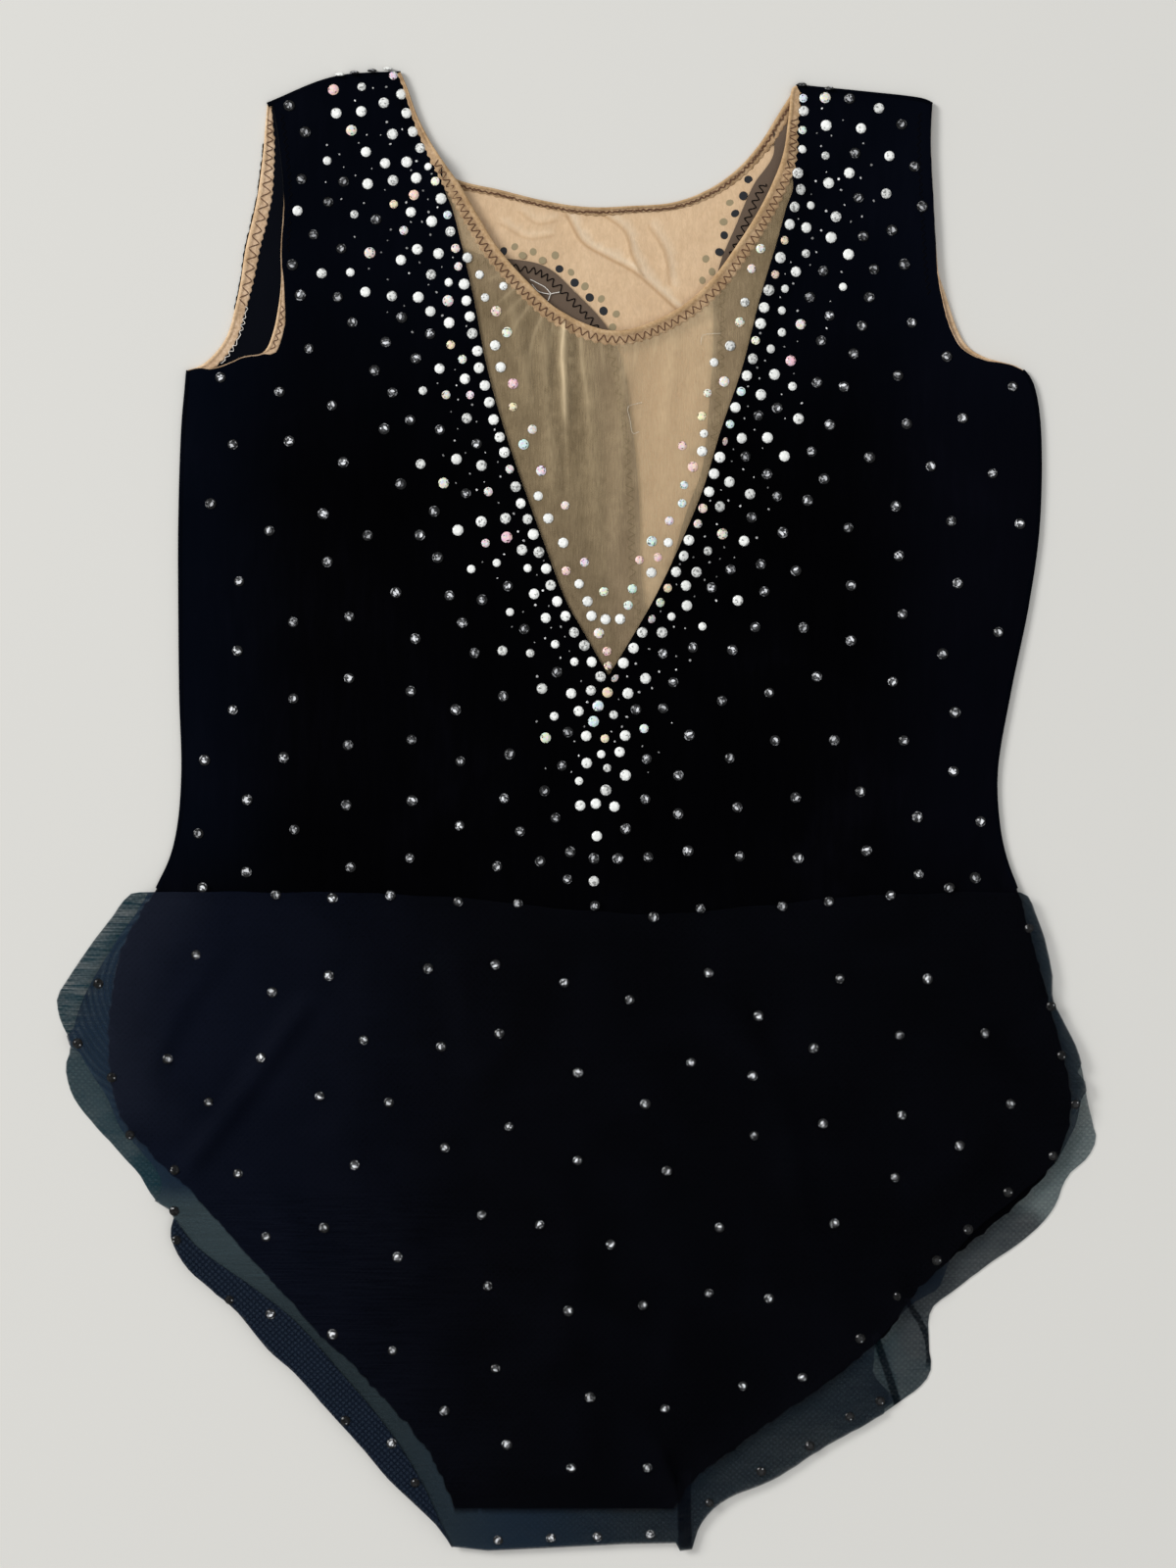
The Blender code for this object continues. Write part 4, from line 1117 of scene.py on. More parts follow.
def lay(names, thickness, rise, rounds, floor_level=None):
    """Puts one layer on what is there, and returns the heights of its underside."""
    some = chosen[names]
    level = np.where(ceiling > 0, ceiling + GAP, base if floor_level is None else floor_level)
    level = relaxed(level, some, rounds) + rise
    levels[names] = level, level + thickness
    used = np.unique(some)
    ceiling[used] = np.maximum(ceiling[used], level[used] + thickness)
    return level


def raise_ceiling(line, into, width, by):
    strip = np.vstack([moved(line, -into * 1.0), moved(line, into * (width + 0.5))[::-1]])
    found = inside(flat, strip)
    ceiling[found & (ceiling > 0)] += by


none = np.zeros(len(flat))
lay("skirt_back", SKIRT, under_rise, 4)
lay("back_inset", NUDE, back_rise, 10)
lay("back_bodice", VELVET, none, 10)
back_top = np.maximum(levels["back_bodice"][1], none)
back_faces = np.vstack([chosen["back_bodice"], chosen["back_inset"]])
back_high = ceiling.copy()
for name in ("neck", "left", "right"):
    raise_ceiling(*bands["back", name], NECK_BINDING, 0.55)
lay("front_inset", NUDE, front_rise, 16)
lay("front_bodice", VELVET, none, 12)
front_faces = np.vstack([chosen["front_bodice"], chosen["front_inset"]])
front_high = ceiling.copy()
lay("skirt_front", SKIRT, skirt_rise, 70)
skirt_high = ceiling.copy()

back_surface = Surface(flat, back_faces, back_high)
front_surface = Surface(flat, front_faces, front_high)
skirt_surface = Surface(flat, chosen["skirt_front"], levels["skirt_front"][1])
turned_rise = 0.5 * ease(distance(flat, edges["turn"]) / 3.0)
turned_surface = Surface(flat, chosen["turned"], levels["skirt_front"][1] + GAP * 1.2 + SKIRT * 2 + turned_rise)
under_surface = Surface(flat, chosen["skirt_back"], levels["skirt_back"][1])
back_under = Surface(flat, chosen["back_bodice"], levels["back_bodice"][0])
inset_under = Surface(flat, chosen["back_inset"], levels["back_inset"][0])
skirt_under = Surface(flat, chosen["skirt_back"], levels["skirt_back"][0])

# The front velvet gets a painted bluish sheen on the straps, at the left edge and more faintly at the right, and the
# back velvet is pale inside the back cut-out.
reach = np.clip(1 - distance(flat, edges["back"]) / 17.0, 0, 1)
inner = ease(reach * 3.0)
high_up = ease((flat[:, 1] - 130.0) / 120.0)
left_side = ease((-110.0 - flat[:, 0]) / 60.0) * ease((flat[:, 1] + 60.0) / 60.0)
right_side = ease((flat[:, 0] - 110.0) / 60.0) * ease((flat[:, 1] + 60.0) / 60.0)
front_painted_sheen = np.outer(0.6 * high_up + 0.8 * left_side, (0.0007, 0.0016, 0.0040)) + np.outer(right_side, (0.0008, 0.0010, 0.0022))
velvet_tints_and_painted_sheen = {
    "back_bodice": np.outer(inner, (0.128, 0.092, 0.067)) + np.outer(0.4 * (1 - inner), (0.006, 0.0075, 0.012)),
    "front_bodice": front_painted_sheen,
}

in_body = tests["front_whole"](flat)
# the skirt over the velvet gets a painted bluish sheen that grows to the left and at the left leg's edge
sheen_leftward = ease((-20.0 - flat[:, 0]) / 170.0)
to_left = ease((40.0 - flat[:, 0]) / 80.0)
from_legs = np.minimum(distance(flat, edges["left_leg"], None), distance(flat, edges["right_leg"], None))
off_body = np.where(in_body, 0.0, np.clip(from_legs / 0.5, 0, 1))
rim_left_sheen = (1 - ease(distance(flat, edges["left_leg"], 3.0) / 32.0)) * ease((flat[:, 1] + 150.0) / 40.0)
on_body_painted_sheen = np.outer(sheen_leftward, (0.0020, 0.0034, 0.0088)) + np.outer(rim_left_sheen, (0.0058, 0.0068, 0.0094))
low_left = ease((-158.0 - flat[:, 1]) / 12.0) * ease((-15.0 - flat[:, 0]) / 75.0)
pleated = np.max([(distance(flat, line, None) < half + 0.2) * extra for line, half, extra, _ in pleats], axis=0)
pleated_back = np.max([(distance(flat, line, None) < half + 0.2) * extra for line, half, extra, both in pleats if both], axis=0)


pocket = 1 - ease((np.hypot(*(flat - px(932, 1398)).T) - 14.0) / 8.0)
turned_under = 1 - ease((distance(flat, smooth([px(*p) for p in TURNED_UNDER], 3.0), None) - 9.0) / 7.0)


def skirt_tone(left, right):
    """The skirt's colour, with a painted sheen on the velvet toward the left: on the velvet, and clear of it on either
    side.
    """
    right = np.add(right, np.outer(np.maximum(0.8 * pocket, turned_under), np.subtract((0.007, 0.015, 0.020), right) * (right[1] > 0.02)))
    clear = np.outer(to_left, left) + (1 - to_left)[:, None] * right
    widest = 0.75 + 0.6 * ease((flat[:, 1] + 225.0) / 45.0)
    clear = clear + low_left[:, None] * (np.outer(widest, (0.025, 0.038, 0.043)) - clear)
    # the pleats' colour is painted darker here, as a painted shade along each fold
    return (on_body_painted_sheen + off_body[:, None] * (clear - on_body_painted_sheen)) * (1 - 2.5 * pleated)[:, None]


skirt_tones = {
    "skirt_back": skirt_tone((0.002, 0.024, 0.034), (0.002, 0.036, 0.044)),
    "skirt_front": skirt_tone((0.009, 0.018, 0.032), (0.0010, 0.0045, 0.0095)),
}
double = tests["skirt_front"](flat) & ~in_body
rings = double * to_left * ease((flat[:, 1] + 150.0) / 30.0)
streaky = to_left * ease((flat[:, 1] + 112.0) / 22.0) * ~in_body
opaque = 0.610 + 0.185 * to_left
opaque = opaque + 0.09 * (1 - ease((np.hypot(*(flat - px(163, 1206)).T) - 12.0) / 8.0))
extra = np.maximum(0.16 * pocket, 0.16 * turned_under)
skirt_masks = {
    "skirt_back": np.column_stack([0 * rings, 0.2 + 0.8 * streaky, opaque + np.maximum(pleated_back, extra)]),
    "skirt_front": np.column_stack([rings, 0.15 + 0.25 * streaky + 0.6 * low_left, opaque + 0.05 * (1 - to_left) + pleated]),
}
gather = np.clip(crease_rise(flat, "front") / 1.5, 0, 1)
slack = np.clip(crease_rise(flat, "back") / 1.0, 0, 1)
# painted shade along each crease of the back inset, and beside it a painted highlight on its lit side
shaded = np.max([0.8 * height * np.clip(1 - distance(flat, line, None) / 1.1, 0, 1) for line, height in slacks], axis=0)
slack_lit_side = np.max([height * (1 - ease(distance(flat, moved(line, 2.3), None) / 1.9)) for line, height in slacks], axis=0)
fine_folds = np.zeros(len(flat))
for line, strength in gathers:
    # a painted highlight, bright at the binding, and fading out along the fold and to its sides
    run = line[-1] - line[0]
    fade = 1 - ease((((flat - line[0]) @ run) / (run @ run) - 0.15) / 0.85)
    away = distance(flat, line, None)
    fine_folds = np.maximum(fine_folds, 0.70 * strength * fade * (0.5 * np.clip(1 - away / 1.1, 0, 1) + 0.5 * (1 - ease(away / 2.3))))
over_skin = ease((distance(flat, edges["back"], 3.0) * np.where(inside(flat, edges["back"]), 1, -1) + 1.5) / 3.0)
inset_tones = {
    # front inset: red is a painted highlight on the gathers and folds plus the paler colour over the skin, green
    # darkens it lower down, blue adds opacity
    "front_inset": np.column_stack([
        np.clip(0.35 * gather**1.4 + 0.8 * fine_folds + 0.45 * over_skin, 0, 1), 0.25 * ease((150 - flat[:, 1]) / 60.0) * (1 - over_skin),
        0.25 * gather + 0.7 * fine_folds,
    ]),
    # back inset: red is the painted highlight beside each crease, green the painted shade along the creases and a
    # darkening below 210 mm, blue adds nothing
    "back_inset": np.column_stack(
        [0.75 * np.clip(slack_lit_side, 0, 1), np.clip(0.95 * shaded + 0.30 * ease((210.0 - flat[:, 1]) / 12.0), 0, 1), 0 * slack]
    ),
}

areas = {}
for name, material, slot_name in (
    ("skirt_back", skirt_mesh, "skirt_mesh"),
    ("back_inset", nude_back, "nude_mesh"),
    ("back_bodice", velvet, "velvet"),
    ("front_inset", nude_front, "nude_mesh"),
    ("front_bodice", velvet, "velvet"),
    ("skirt_front", skirt_mesh, "skirt_mesh"),
):
    bottom, top = levels[name]
    points, skin, used = wall(flat, chosen[name], bottom, top)
    areas[name] = flat_area(flat, chosen[name])
    tones = None
    if name in velvet_tints_and_painted_sheen:
        tint = velvet_tints_and_painted_sheen[name][used]
        outer_face = np.zeros_like(tint) if name == "back_bodice" else tint
        tones = ("point", np.vstack([outer_face, tint]))
    if name in inset_tones:
        tones = ("point", np.vstack([inset_tones[name][used]] * 2))
    masks = None
    if name in skirt_tones:
        tones = np.vstack([skirt_tones[name][used]] * 2)
        masks = np.vstack([skirt_masks[name][used]] * 2)
        plain_count = len(skin)
        # the turned-back strip lies on top of both skirts
        turned = chosen["turned"]
        count = 1 if name == "skirt_front" else 2
        fold_down = levels["skirt_front"][1] + GAP * 0.6 * count + SKIRT * (count - 1)
        fold_down = fold_down + turned_rise
        more, extra, again = wall(flat, turned, fold_down, fold_down + SKIRT)
        tones = ("point", np.vstack([tones, np.vstack([skirt_tones[name][again]] * 2)]))
        masks = ("point", np.vstack([masks, np.vstack([skirt_masks[name][again]] * 2)]))
        start = len(points)
        points = np.vstack([points, more])
        skin = np.vstack([skin, extra + start])
        areas[name] += flat_area(flat, turned)
    obj = add_object(name + "_cloth", points, skin, [material], 55, tones, masks)
    if name in ("skirt_back", "skirt_front"):
        obj.data.materials.append(skirt_turned)
        index = np.zeros(len(skin), np.int32)
        index[plain_count:] = 1
        obj.data.polygons.foreach_set("material_index", index)
    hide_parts(name)

# Rounded folds at the side seams, the shoulders and the crotch.
folds = joined(
    [
        folded_edge(edges["left_side"], 1, front_surface, back_under),
        folded_edge(edges["right_side"], -1, front_surface, back_under),
        folded_edge(edges["left_shoulder"], -1, front_surface, back_under),
        folded_edge(edges["right_shoulder"], 1, front_surface, back_under),
        folded_edge(edges["crotch"], 1, front_surface, back_under),
    ]
)
fold_points, fold_faces = folds
# the folds carry a painted bluish sheen along their rounded edges
fold_painted_sheen = np.tile((0.0003, 0.0008, 0.0020), (len(fold_points), 1))
folds_obj = add_object("side_folds", fold_points, fold_faces, [velvet], 40, ("point", fold_painted_sheen))

# Bindings.
WIDTHS = {
    # place from the left shoulder to the right, or from the shoulder to the underarm, and width
    ("front", "neck"): (
        (0.0, 1.6), (0.03, 1.8), (0.07, 2.3), (0.116, 3.6), (0.15, 5.0), (0.18, 6.4), (0.30, 6.6),
        (0.50, 6.2), (0.70, 6.8), (0.88, 6.6), (0.93, 4.7), (1.0, 4.2),
    ),
    ("back", "neck"): ((0.0, 5.2), (0.12, 4.6), (0.24, 3.6), (0.40, 3.0), (0.52, 3.9), (0.62, 3.0), (0.80, 4.2), (1.0, 5.6)),
    ("back", "left"): ((0.0, 1.8), (0.05, 3.0), (0.12, 4.5), (0.30, 6.3), (0.45, 6.3), (0.55, 6.0), (0.72, 4.6), (0.93, 4.4), (1.0, 2.6)),
    ("back", "right"): ((0.0, 5.2), (0.75, 5.2), (1.0, 2.4)),
    ("front", "left"): (
        (0.0, 0.08), (0.25, 0.08), (0.33, 0.40), (0.50, 0.45), (0.59, 2.2), (0.66, 4.2), (0.745, 4.4), (0.765, 0.45), (1.0, 0.35),
    ),
    ("front", "right"): ((0.0, 0.06), (0.42, 0.06), (0.54, 0.3), (1.0, 0.3)),
}
TEETH = {("front", "neck"): 0.5, ("back", "neck"): 0.35, ("back", "left"): 0.35}
# Where the velvet rolls over the binding and only its dark edge shows.
COVERED = {("front", "left"): ((0.0, 1.0), (0.27, 1.0), (0.33, 0.0), (1.0, 0.0)), ("front", "right"): ((0.0, 1.0), (0.44, 1.0), (0.54, 0.0), (1.0, 0.0))}
trims = {}
for cloth, surface in (("back", back_surface), ("front", front_surface)):
    for name in ("neck", "left", "right"):
        line, into = bands[cloth, name]
        points, skin = band(
            line, into, WIDTHS[cloth, name], surface, 0.16 if (cloth, name) == ("back", "neck") else 0.10,
            len(name) + 3.0 * (cloth == "front"), TEETH.get((cloth, name), 0.0), 3.3,
        )
        stitched = np.tile(STITCHED, len(points) // len(STITCHED))
        label = f"neck_binding_{cloth}" if name == "neck" else f"armhole_binding_{name}_{cloth}"
        places = np.repeat(np.linspace(0, 1, len(points) // len(STITCHED)), len(STITCHED))
        covered = along_edge(COVERED.get((cloth, name), 0.0), places)
        obj = add_object(
            label + "_elastic", points, skin, [binding], 50,
            ("point", np.column_stack([stitched, np.full(len(points), 0.0 if name == "neck" else 0.9), covered])),
        )
        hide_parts(label)
        trims[cloth, name] = obj

# Zigzag stitches, and the white thread tacks of the back inset.
sewn = []
line, into = bands["front", "neck"]
inward = tuple((place, max(width - 2.3, 1.2)) for place, width in WIDTHS["front", "neck"])
sewn.append(zigzag(line, into, inward, 1.8, 3.3, front_surface, 0.50, 0.20, 0.5, 3, (0.14, 0.95)))
line, into = bands["back", "neck"]
sewn.append(zigzag(line, into, 2.2, 0.65, 2.4, back_surface, 0.52, 0.20, 1.1, 5))
sewn.append(zigzag(line, into, 2.3, 0.60, 3.1, back_surface, 0.60, 0.16, 1.1, 6))
line, into = bands["back", "left"]
sewn.append(
    zigzag(
        line, into, tuple((place, width / 2 + 0.1) for place, width in WIDTHS["back", "left"]),
        ((0.0, 1.1), (0.12, 1.7), (0.30, 2.1), (0.60, 2.1), (0.72, 1.6)), ((0.0, 3.2), (0.12, 3.6), (0.30, 5.6), (0.72, 5.4)),
        back_surface, 0.55, 0.19, 0.3, 7, (0.05, 0.70),
    )
)
line, into = bands["front", "left"]
sewn.append(zigzag(line, into, 2.2, 0.9, 3.4, front_surface, 0.50, 0.16, 0.6, 9, (0.61, 0.745)))
obj = add_object("stitches_brown", *joined(sewn), [brown], 60)
stitches = [obj]
fine = resampled(edges["back"], 0.3)
clear_of_neck = np.flatnonzero(tests["back_whole"](fine) & (distance(fine, edges["neck_back"], 3.0) > 9.0)) / len(fine)
sewn = [
    zigzag(edges["back"], -1, 3.6, 1.7, 4.0, back_surface, 0.22, 0.22, 0.6, 11, (clear_of_neck[0], clear_of_neck[-1])),
    zigzag(bands["front", "right"][0], -1, 5.2, 0.9, 3.0, front_surface, 0.12, 0.16, 0.4, 12, (0.03, 0.60)),
    zigzag(bands["front", "left"][0], 1, 3.0, 0.9, 3.0, front_surface, 0.12, 0.16, 0.4, 13, (0.03, 0.45)),
]
rim = resampled(bands["back", "left"][0], 0.7)
rim = moved(rim, -0.20 + 0.55 * wobble(rim, 1.7, 7.0))[int(0.14 * len(rim)) : int(0.72 * len(rim))]
sewn.append(thread(np.column_stack([rim, np.full(len(rim), 0.50)]), 0.38))
obj = add_object("stitches_black", *joined(sewn), [black], 60)
stitches.append(obj)
TACKS = (
    # the corners of each loose thread
    ((541, 286), (549, 290), (556, 294), (562, 300)),
    ((543, 291), (549, 298), (555, 300), (561, 301)),
    ((561, 301), (566, 300), (571, 299)),
    ((562, 301), (560, 306), (557, 310)),
    ((655, 411), (641, 416), (643, 430), (646, 443), (652, 441)),
    ((715, 352), (717, 343), (735, 341)),
)
sewn = []
for tack in TACKS:
    path = smooth([px(*p) for p in tack], 0.6)
    path = path + 0.12 * np.column_stack([wobble(path, 1.2, 1.0), wobble(path, 1.2, 2.0)])
    z = back_surface.heights(path) + 0.5
    sewn.append(thread(np.column_stack([path, z]), 0.18))
fringe = resampled(bands["back", "left"][0], 0.35)
fringe = fringe[int(0.70 * len(fringe)) : int(0.90 * len(fringe))]
t = np.arange(len(fringe)) * 0.35
across = normals(fringe) * (ARM_BINDING - 1.2 + 1.1 * np.abs(np.sin(t * 1.15)) + 0.3 * np.sin(t * 2.9))[:, None]
fringe = fringe + across
sewn.append(thread(np.column_stack([fringe, back_surface.heights(fringe) + 0.4]), 0.16))
obj = add_object("threads_white", *joined(sewn), [white], 60)
stitches.append(obj)

# -------------------------------------------------------------- stones, front
L, M, S = 11.0 * PX / 2, 8.8 * PX / 2, 3.6 * PX / 2
placed = {"clear": [], "ab": [], "fleck": [], "smoky": [], "jet": []}
taken = np.full((6000, 2), 1e6)
v_edge = edges["front"]
down = np.array([px(*p) for p in ((617, 688), (612, 760), (610, 822), (607, 899))])
column_y = [px(0, y)[1] for y in (899, 853, 822, 760, 700)]
column_w = [2.0, 3.0, 14.0, 24.0, 28.0]


def put(kind, p, radius, surface=None, room=None, lift=0.0):
    """Seats one stone if it has room."""
    surface = surface or front_surface
    count = sum(len(rows) for rows in placed.values())
    if room is not None and count:
        others = taken[:count] - p
        if (others[:, 0] ** 2 + others[:, 1] ** 2).min() < room * room:
            return False
    z, normal = surface.at(p[0], p[1])
    height = radius * {"fleck": 0.7, "smoky": 0.42, "jet": 0.42}.get(kind, 0.36)
    placed[kind].append((p[0], p[1], z - 0.05 + lift, tuple(normal), radius, height))
    taken[count] = p[0], p[1]
    return True


def row(line, offset, spacing, kinds, room, keep, jitter=0.5, start=0.0):
    """Stones along a line, at a distance to its left."""
    path = resampled(moved(line, offset), spacing)
    spots = path[:-1] + np.diff(path, axis=0) * start + rng.uniform(-jitter, jitter, (len(path) - 1, 2))
    for p in spots[keep(spots)]:
        kind = kinds[rng.randint(len(kinds))]
        put(kind, p, {"clear": L * rng.uniform(0.94, 1.03), "ab": M * rng.uniform(0.95, 1.06)}[kind], None, room)


neck_line = bands["front", "neck"][0]
neck_places = resampled(neck_line, 2.0)


def beside_neck(p):
    """How far places are from the outer side of the front neck binding."""
    near = [np.argmin(np.hypot(*(neck_places - q).T)) for q in p]
    return distance(p, neck_line, 2.0) - along_edge(WIDTHS["front", "neck"], np.array(near) / (len(neck_places) - 1))


def below_neck(p):
    """Which places are on the front and clear of the neck binding."""
    return (beside_neck(p) > 1.5) & tests["front_whole"](p)


for p in ((592, 822), (608, 820), (627, 823), (609, 853), (606, 899)):
    put("clear", np.array(px(*p)), L * 0.96, None, 4.0)


row(v_edge, -3.0, 7.5, ("clear", "clear", "clear", "clear", "ab"), 5.0, below_neck, 0.45, 0.0)
row(v_edge, 0.7, 7.5, ("clear", "clear", "clear", "clear", "ab"), 4.9, below_neck, 0.45, 0.5)
places = np.linspace(0, 1, len(neck_places))
beside = resampled(moved(neck_places, -(along_edge(WIDTHS["front", "neck"], places) + 1.9)), 8.3)
beside = beside[tests["front_whole"](beside) & (beside[:, 1] > 240.0) & ~inside(beside, v_edge)]
for p in beside + rng.uniform(-0.4, 0.4, beside.shape):
    put("ab" if rng.uniform() < 0.3 else "clear", p, (L if rng.uniform() < 0.6 else M) * rng.uniform(0.93, 1.02), None, 5.4)
# stones on the mesh, thin at the top and crowding at the tip
spots = np.column_stack([rng.uniform(-60, 92, 6000), rng.uniform(60, 262, 6000)])
spots = spots[inside(spots, v_edge) & below_neck(spots)]
for p, d in zip(spots, distance(spots, v_edge, 3.0)):
    tip = ease((118.0 - p[1]) / 50.0)
    if d < 4.6 or d > 14.5 + 8.0 * tip:
        continue
    put("ab" if rng.uniform() < 0.62 - 0.30 * tip else "clear", p,
        M * rng.uniform(0.95, 1.10) if rng.uniform() < 0.6 else L * 0.96, None, 7.0 + 0.35 * max(0.0, d - 6.0) * (1 - tip) - 1.2 * tip)
count = 22000
cloud = np.column_stack([rng.uniform(-172, 200, count), rng.uniform(-30, 314, count)])
arm_far = np.minimum(distance(cloud, bands["front", "left"][0]), distance(cloud, bands["front", "right"][0]))
neck_far = beside_neck(cloud)
side_far = np.min([distance(cloud, edges[k]) for k in ("left_side", "right_side", "left_shoulder", "right_shoulder")], axis=0)
good = tests["front_whole"](cloud) & ~inside(cloud, v_edge) & (arm_far > 4.2) & (neck_far > 2.0) & (side_far > 2.6)
cloud, side_far = cloud[good], side_far[good]
d_edge = distance(cloud, v_edge, 3.0)
d_down = distance(cloud, down, None)
stem = np.interp(cloud[:, 1], column_y, column_w)
zone = np.where(cloud[:, 1] < px(0, 700)[1], d_down / np.maximum(stem, 1.0) * 25.0, np.minimum(d_edge, np.maximum(d_down - 3, 0) + 0.0))
on_strap = cloud[:, 1] > 232.0
spread = 1.0 + 0.70 * ease((cloud[:, 1] - 190.0) / 50.0) * np.where(cloud[:, 0] < 14, 1.0, 0.25)
wide_zone = np.where(cloud[:, 1] < 66.0, zone, zone / spread)
for i in np.argsort(wide_zone // 5.0 + rng.uniform(0, 2.5, len(zone))):
    p, z = cloud[i], wide_zone[i]
    below_tip = p[1] < 66.0
    if z < 33.0 and not (below_tip and (p[1] < px(0, 812)[1] or z > 25)):
        room = 6.0 + 0.15 * max(0.0, z - 2.0)
        if z > 12.0 and rng.uniform() < 0.16 + 0.012 * z:
            put("smoky", p, L * rng.uniform(0.92, 1.0), None, room)
        else:
            put("ab" if rng.uniform() < 0.20 else "clear", p, (L if rng.uniform() < 0.72 else M) * rng.uniform(0.93, 1.03), None, room)
    elif z < 50.0 and not below_tip:
        if rng.uniform() < 0.34 - 0.25 * (z > 40):
            put("clear", p, L * rng.uniform(0.9, 1.0), None, 11.5)
        else:
            put("smoky", p, L * rng.uniform(0.92, 1.04), None, 11.5)
    elif side_far[i] > 6.0:
        wide = 11.5 if on_strap[i] else 20.5 + 3.5 * (z > 90)
        if below_tip and d_down[i] < 62 and p[1] > -30.0:
            wide = min(wide, 8.0 + 0.21 * d_down[i])
        put("smoky", p, L * rng.uniform(0.9, 1.04), None, wide)
# flecks between the stones of the band
for i in range(len(cloud)):
    if 2.0 < wide_zone[i] < 30.0 and cloud[i][1] > px(0, 790)[1]:
        if rng.uniform() < 0.5 - 0.012 * wide_zone[i]:
            put("fleck", cloud[i], S * rng.uniform(0.45, 0.85), None, 3.4 + 0.07 * wide_zone[i])
# stones on the fold of the shoulders, seen nearly edge-on
for x, y in ((347, 78), (362, 76), (380, 74), (396, 72), (818, 88), (846, 92)):
    x, y = px(x, y)
    kind = "smoky" if x > 0 or rng.uniform() < 0.5 else "clear"
    placed[kind].append((x, y + 0.2, max(front_surface.at(x, y - 1.5)[0] - 1.2, 0.95 * L), (0.0, 0.90, 0.43), L * 0.92, L * 0.34))

# --------------------------------------------------------------- stones, skirt
for name, sign in (("skirt_front_left", 1), ("skirt_front_right", -1)):
    path = resampled(moved(edges[name], sign * 4.2), 24.0)
    path = path[2:-1] + rng.uniform(-3.0, 3.0, (len(path) - 3, 2))
    for p in path[~tests["turned"](path)]:
        put("jet", p, L * rng.uniform(0.84, 0.98), skirt_surface, 13.0)
path = resampled(edges["hem"], 21.0)
for p in path[1:-1]:
    put("smoky", (p[0] + rng.uniform(-2, 2), p[1] + 3.4 + rng.uniform(0, 1.5)), L * 0.9, skirt_surface, 9.0)
for x, y in ((277, 1339), (400, 1471)):
    put("smoky", np.array(px(x, y)), L * rng.uniform(0.9, 1.0), turned_surface, 9.0)
for x, y in ((181, 1264), (235, 1325), (353, 1448), (424, 1511)):
    put("jet", np.array(px(x, y)), L * rng.uniform(0.8, 0.9), turned_surface, 9.0)
put("smoky", np.array(px(340, 1360)), L, skirt_surface, 9.0)
# a loose row along the seam of the skirt
for p in resampled(edges["hips"], 27.0)[1:-1]:
    put("smoky", p + rng.uniform((-5.0, -2.5), (5.0, 3.0)), L * rng.uniform(0.9, 1.0), skirt_surface, 9.0)
skirt_points = np.column_stack([rng.uniform(-216, 220, 1600), rng.uniform(-312, -48, 1600)])
inside_skirt = tests["skirt_front"](skirt_points) & ~tests["turned"](skirt_points)
inside_skirt &= distance(skirt_points, edges["turn"], 3.0) > 4.0
far = np.min([distance(skirt_points, edges[k]) for k in ("skirt_front_left", "skirt_front_right", "hem", "hips")], axis=0)
in_clear = ~tests["front_whole"](skirt_points)
kept_points = []
for p, clear in zip(skirt_points[inside_skirt & (far > 4.0)], in_clear[inside_skirt & (far > 4.0)]):
    if put("jet" if clear else "smoky", p, L * rng.uniform(0.84, 1.0), skirt_surface, 25.0):
        kept_points.append(p)
skirt_points = np.array(kept_points)

dice = np.random.RandomState(44)
stone_objects = []
for kind, label in (
    ("clear", "stones_clear"), ("ab", "stones_aurora"), ("fleck", "stones_flecks"), ("smoky", "stones_smoky"), ("jet", "stones_jet"),
):
    obj = stones(label, placed[kind], kind, crystal, dice)
    stone_objects.append(obj)

# ---------------------------------------------------- stones on the other side
hidden = {"clear": [], "smoky": []}
dots = []
taken_under = []


def put_under(kind, p, radius, surface, room):
    if taken_under and np.min(np.hypot(*(np.array(taken_under) - p).T)) < room:
        return False
    z, normal = surface.at(p[0], p[1])
    height = min(0.9, max(z - 0.02, 0.15))
    hidden[kind].append((p[0], p[1], z + 0.03, tuple(-normal), radius, height))
    taken_under.append(tuple(p))
    return True


back_edge = edges["back"]
neck_area = np.vstack([moved(neck_line, -2.0), [(130.0, 340.0), (130.0, -60.0), (-130.0, -60.0), (-130.0, 340.0)]])
path = resampled(moved(back_edge, 2.6), 8.6)
aside = normals(path)
for farther in (False, True):
    for k, p in enumerate(path[:-1]):
        q = (p if not farther else 0.5 * (p + path[k + 1]) + aside[k] * rng.uniform(2.6, 3.8)) + rng.uniform(-0.8, 0.8, 2)
        if not tests["back_whole"](q[None])[0] or distance(q[None], edges["neck_back"], 3.0)[0] < 6.5:
            continue
        if put_under("clear", q, M, inset_under, 4.0) and distance(q[None], neck_line, 3.0)[0] > 0.5 and not inside(q[None], neck_area)[0]:
            dots.append((q, rng.uniform(0.46, 1.0) if farther else rng.uniform(0.0, 0.58)))
for _ in range(10):
    p = np.array([rng.uniform(-50, 66), rng.uniform(150, 256)])
    if inside(p[None], back_edge)[0] and 8.5 < distance(p[None], back_edge, 3.0)[0] < 11 and distance(p[None], edges["neck_back"])[0] > 9:
        if put_under("clear", p, M, inset_under, 12.0) and not inside(p[None], neck_area)[0]:
            dots.append((p, rng.uniform(0.4, 1.0)))
path = resampled(moved(back_edge, -3.2), 7.8)
for p in path:
    q = p + rng.uniform(-0.5, 0.5, 2)
    if tests["back_whole"](q[None])[0] and distance(q[None], edges["neck_back"], 3.0)[0] > 6.0:
        put_under("clear", q, L * 0.96, back_under, 5.2)
cloud = np.column_stack([rng.uniform(-172, 200, 4000), rng.uniform(-30, 312, 4000)])
ok = tests["back_bodice"](cloud) & (np.min([distance(cloud, edges[k]) for k in (
    "left_side", "right_side", "left_shoulder", "right_shoulder", "arm_left", "arm_right", "neck_back")], axis=0) > 11.0)
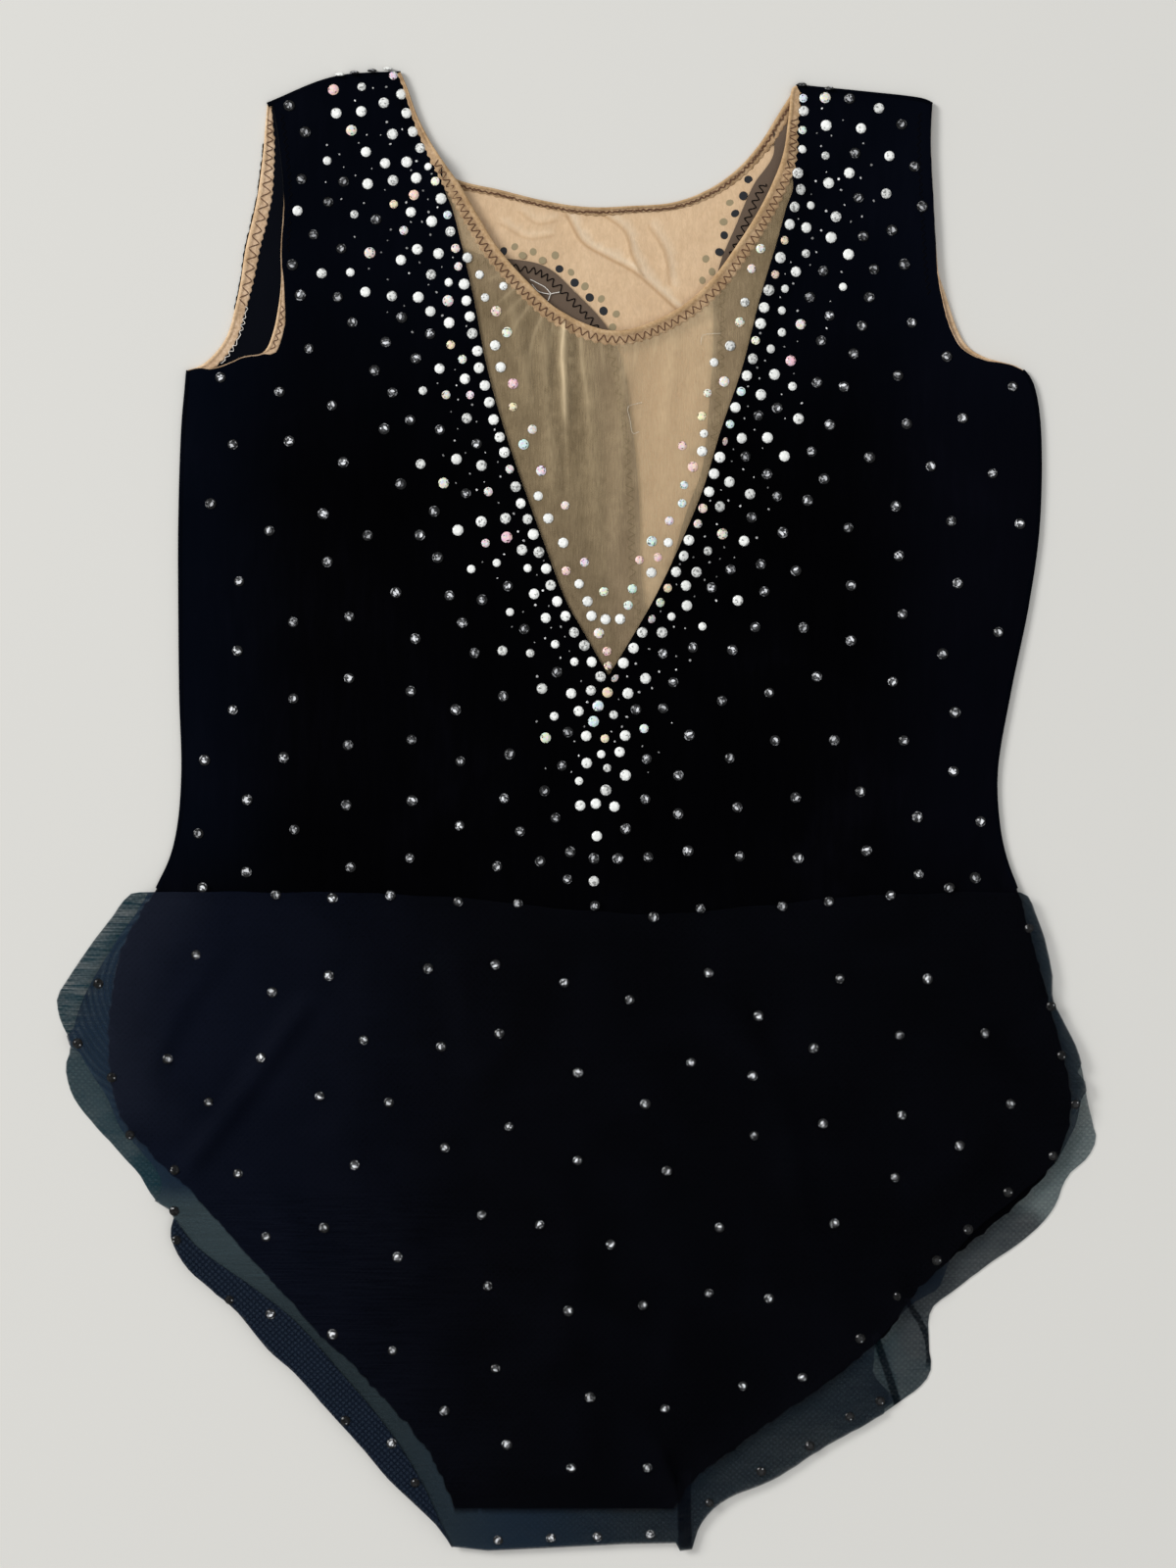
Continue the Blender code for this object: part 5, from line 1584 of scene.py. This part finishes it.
for p, d in zip(cloud[ok], distance(cloud[ok], back_edge, 3.0)):
    if d < 26:
        put_under("clear", p, L * rng.uniform(0.92, 1.02), back_under, 9.5)
    else:
        put_under("smoky", p, L * rng.uniform(0.9, 1.02), back_under, 24.0)
flipped = skirt_points * (1.0, 1.0) + (9.0, 5.0)
near_rim = np.min([distance(flipped, edges[k]) for k in ("skirt_left", "skirt_right", "hem", "hips")], axis=0)
for p in flipped[tests["skirt_back"](flipped) & (near_rim > 13.0)]:
    put_under("smoky", p, L * 0.94, skirt_under, 12.0)
for kind, label in (("clear", "stones_clear_under"), ("smoky", "stones_smoky_under")):
    obj = stones(label, hidden[kind], kind, crystal, dice)
    stone_objects.append(obj)

# the flat backs of the stones show through the back inset
points, skin, tones = [], [], []
for (q, tone) in dots:
    z, normal = back_surface.at(q[0], q[1])
    radius = PX * (4.6 if tone < 0.45 else 4.2) * rng.uniform(0.92, 1.04)
    shade = (0.012, 0.014, 0.018) if tone < 0.45 else (0.31, 0.25, 0.145)
    start = len(points)
    count = 14
    oval, lean = rng.uniform(0.82, 1.0), rng.uniform(0, math.pi)
    for level, r in ((-0.02, 1.0), (0.07, 0.94)):
        for k in range(count):
            turn = 2 * math.pi * k / count
            a, b = radius * r * math.cos(turn), radius * r * oval * math.sin(turn)
            points.append((q[0] + a * math.cos(lean) - b * math.sin(lean), q[1] + a * math.sin(lean) + b * math.cos(lean), z + level))
    face = [tuple(start + k for k in range(count))[::-1], tuple(start + count + k for k in range(count))]
    face += [(start + k, start + (k + 1) % count, start + count + (k + 1) % count, start + count + k) for k in range(count)]
    skin += face
    tones += [shade] * (2 * count)
obj = add_object("stone_backs", points, skin, [backs], None, ("point", np.array(tones)))
stone_objects.append(obj)

# ------------------------------------------------------ the cut of each sheet
for name, rests in (
    ("skirt_back", ["the surface"]), ("back_inset", ["back_bodice_cloth"]), ("back_bodice", ["skirt_back_cloth"]),
    ("front_inset", ["back_inset_cloth"]), ("front_bodice", ["front_inset_cloth"]), ("skirt_front", ["front_bodice_cloth"]),
):
    used = np.unique(chosen[name])
    size = flat[used].max(axis=0) - flat[used].min(axis=0)
    area = areas[name]
    width, length = size
    if area > width * length:
        length = area / width * 1.01
    extra = {
        "front_bodice": [folds_obj, trims["front", "left"], trims["front", "right"], trims["front", "neck"]],
        "back_bodice": [trims["back", "left"], trims["back", "right"], trims["back", "neck"]],
    }.get(name, [])
    print(f"sheet {name}: {width:.0f} x {length:.0f} mm, {area / 1e6:.4f} m2, {2 * len(chosen[name])} triangles")
print("stones", {k: len(v) for k, v in placed.items()}, "under", {k: len(v) for k, v in hidden.items()}, "dots", len(dots))

# ------------------------------------------------------------ floor and light
floor_material = Maker("floor", (0.70, 0.692, 0.66), 0.8, Specular_IOR_Level=0.0)
grain = floor_material.noise(floor_material.scaled(3, 3, 3), 2.0)
floor_material.colour(floor_material.mix(grain, (0.690, 0.682, 0.650), (0.710, 0.702, 0.670)))
mesh = bpy.data.meshes.new("floor")
mesh.from_pydata([(-4, -4, 0), (4, -4, 0), (4, 4, 0), (-4, 4, 0)], [], [(0, 1, 2, 3)])
mesh.materials.append(floor_material.material)
floor = bpy.data.objects.new("floor", mesh)
bpy.context.scene.collection.objects.link(floor)

world = bpy.data.worlds.new("studio")
bpy.context.scene.world = world
world.use_nodes = True
sky = world.node_tree.nodes["Background"]
sky.inputs["Color"].default_value = (1.0, 1.0, 1.0, 1.0)
sky.inputs["Strength"].default_value = 0.52


def area_light(name, place, size, power, colour):
    data = bpy.data.lights.new(name, "AREA")
    data.shape, data.size, data.size_y = "RECTANGLE", size[0], size[1]
    data.energy, data.color = power, colour
    lamp = bpy.data.objects.new(name, data)
    lamp.location = place
    lamp.rotation_mode = "QUATERNION"
    lamp.rotation_quaternion = (Vector((0, 0, 0)) - Vector(place)).to_track_quat("-Z", "Y")
    bpy.context.scene.collection.objects.link(lamp)


area_light("window", (-4.6, 2.6, 3.3), (2.6, 2.0), 300.0, (1.0, 0.998, 0.99))
area_light("fill", (0.7, -0.8, 2.4), (1.6, 1.0), 6.6, (0.95, 0.97, 1.0))

camera_data = bpy.data.cameras.new("camera")
camera_data.sensor_width = 36.0
camera_data.sensor_fit = "AUTO"
HEIGHT = 1.5
camera_data.lens = 36.0 * HEIGHT / (1600 * PX * MM)
camera = bpy.data.objects.new("camera", camera_data)
centre = px(600, 800)
camera.location = (centre[0] * MM, centre[1] * MM, HEIGHT)
bpy.context.scene.collection.objects.link(camera)
bpy.context.scene.camera = camera
bpy.context.scene.view_settings.view_transform = "Standard"
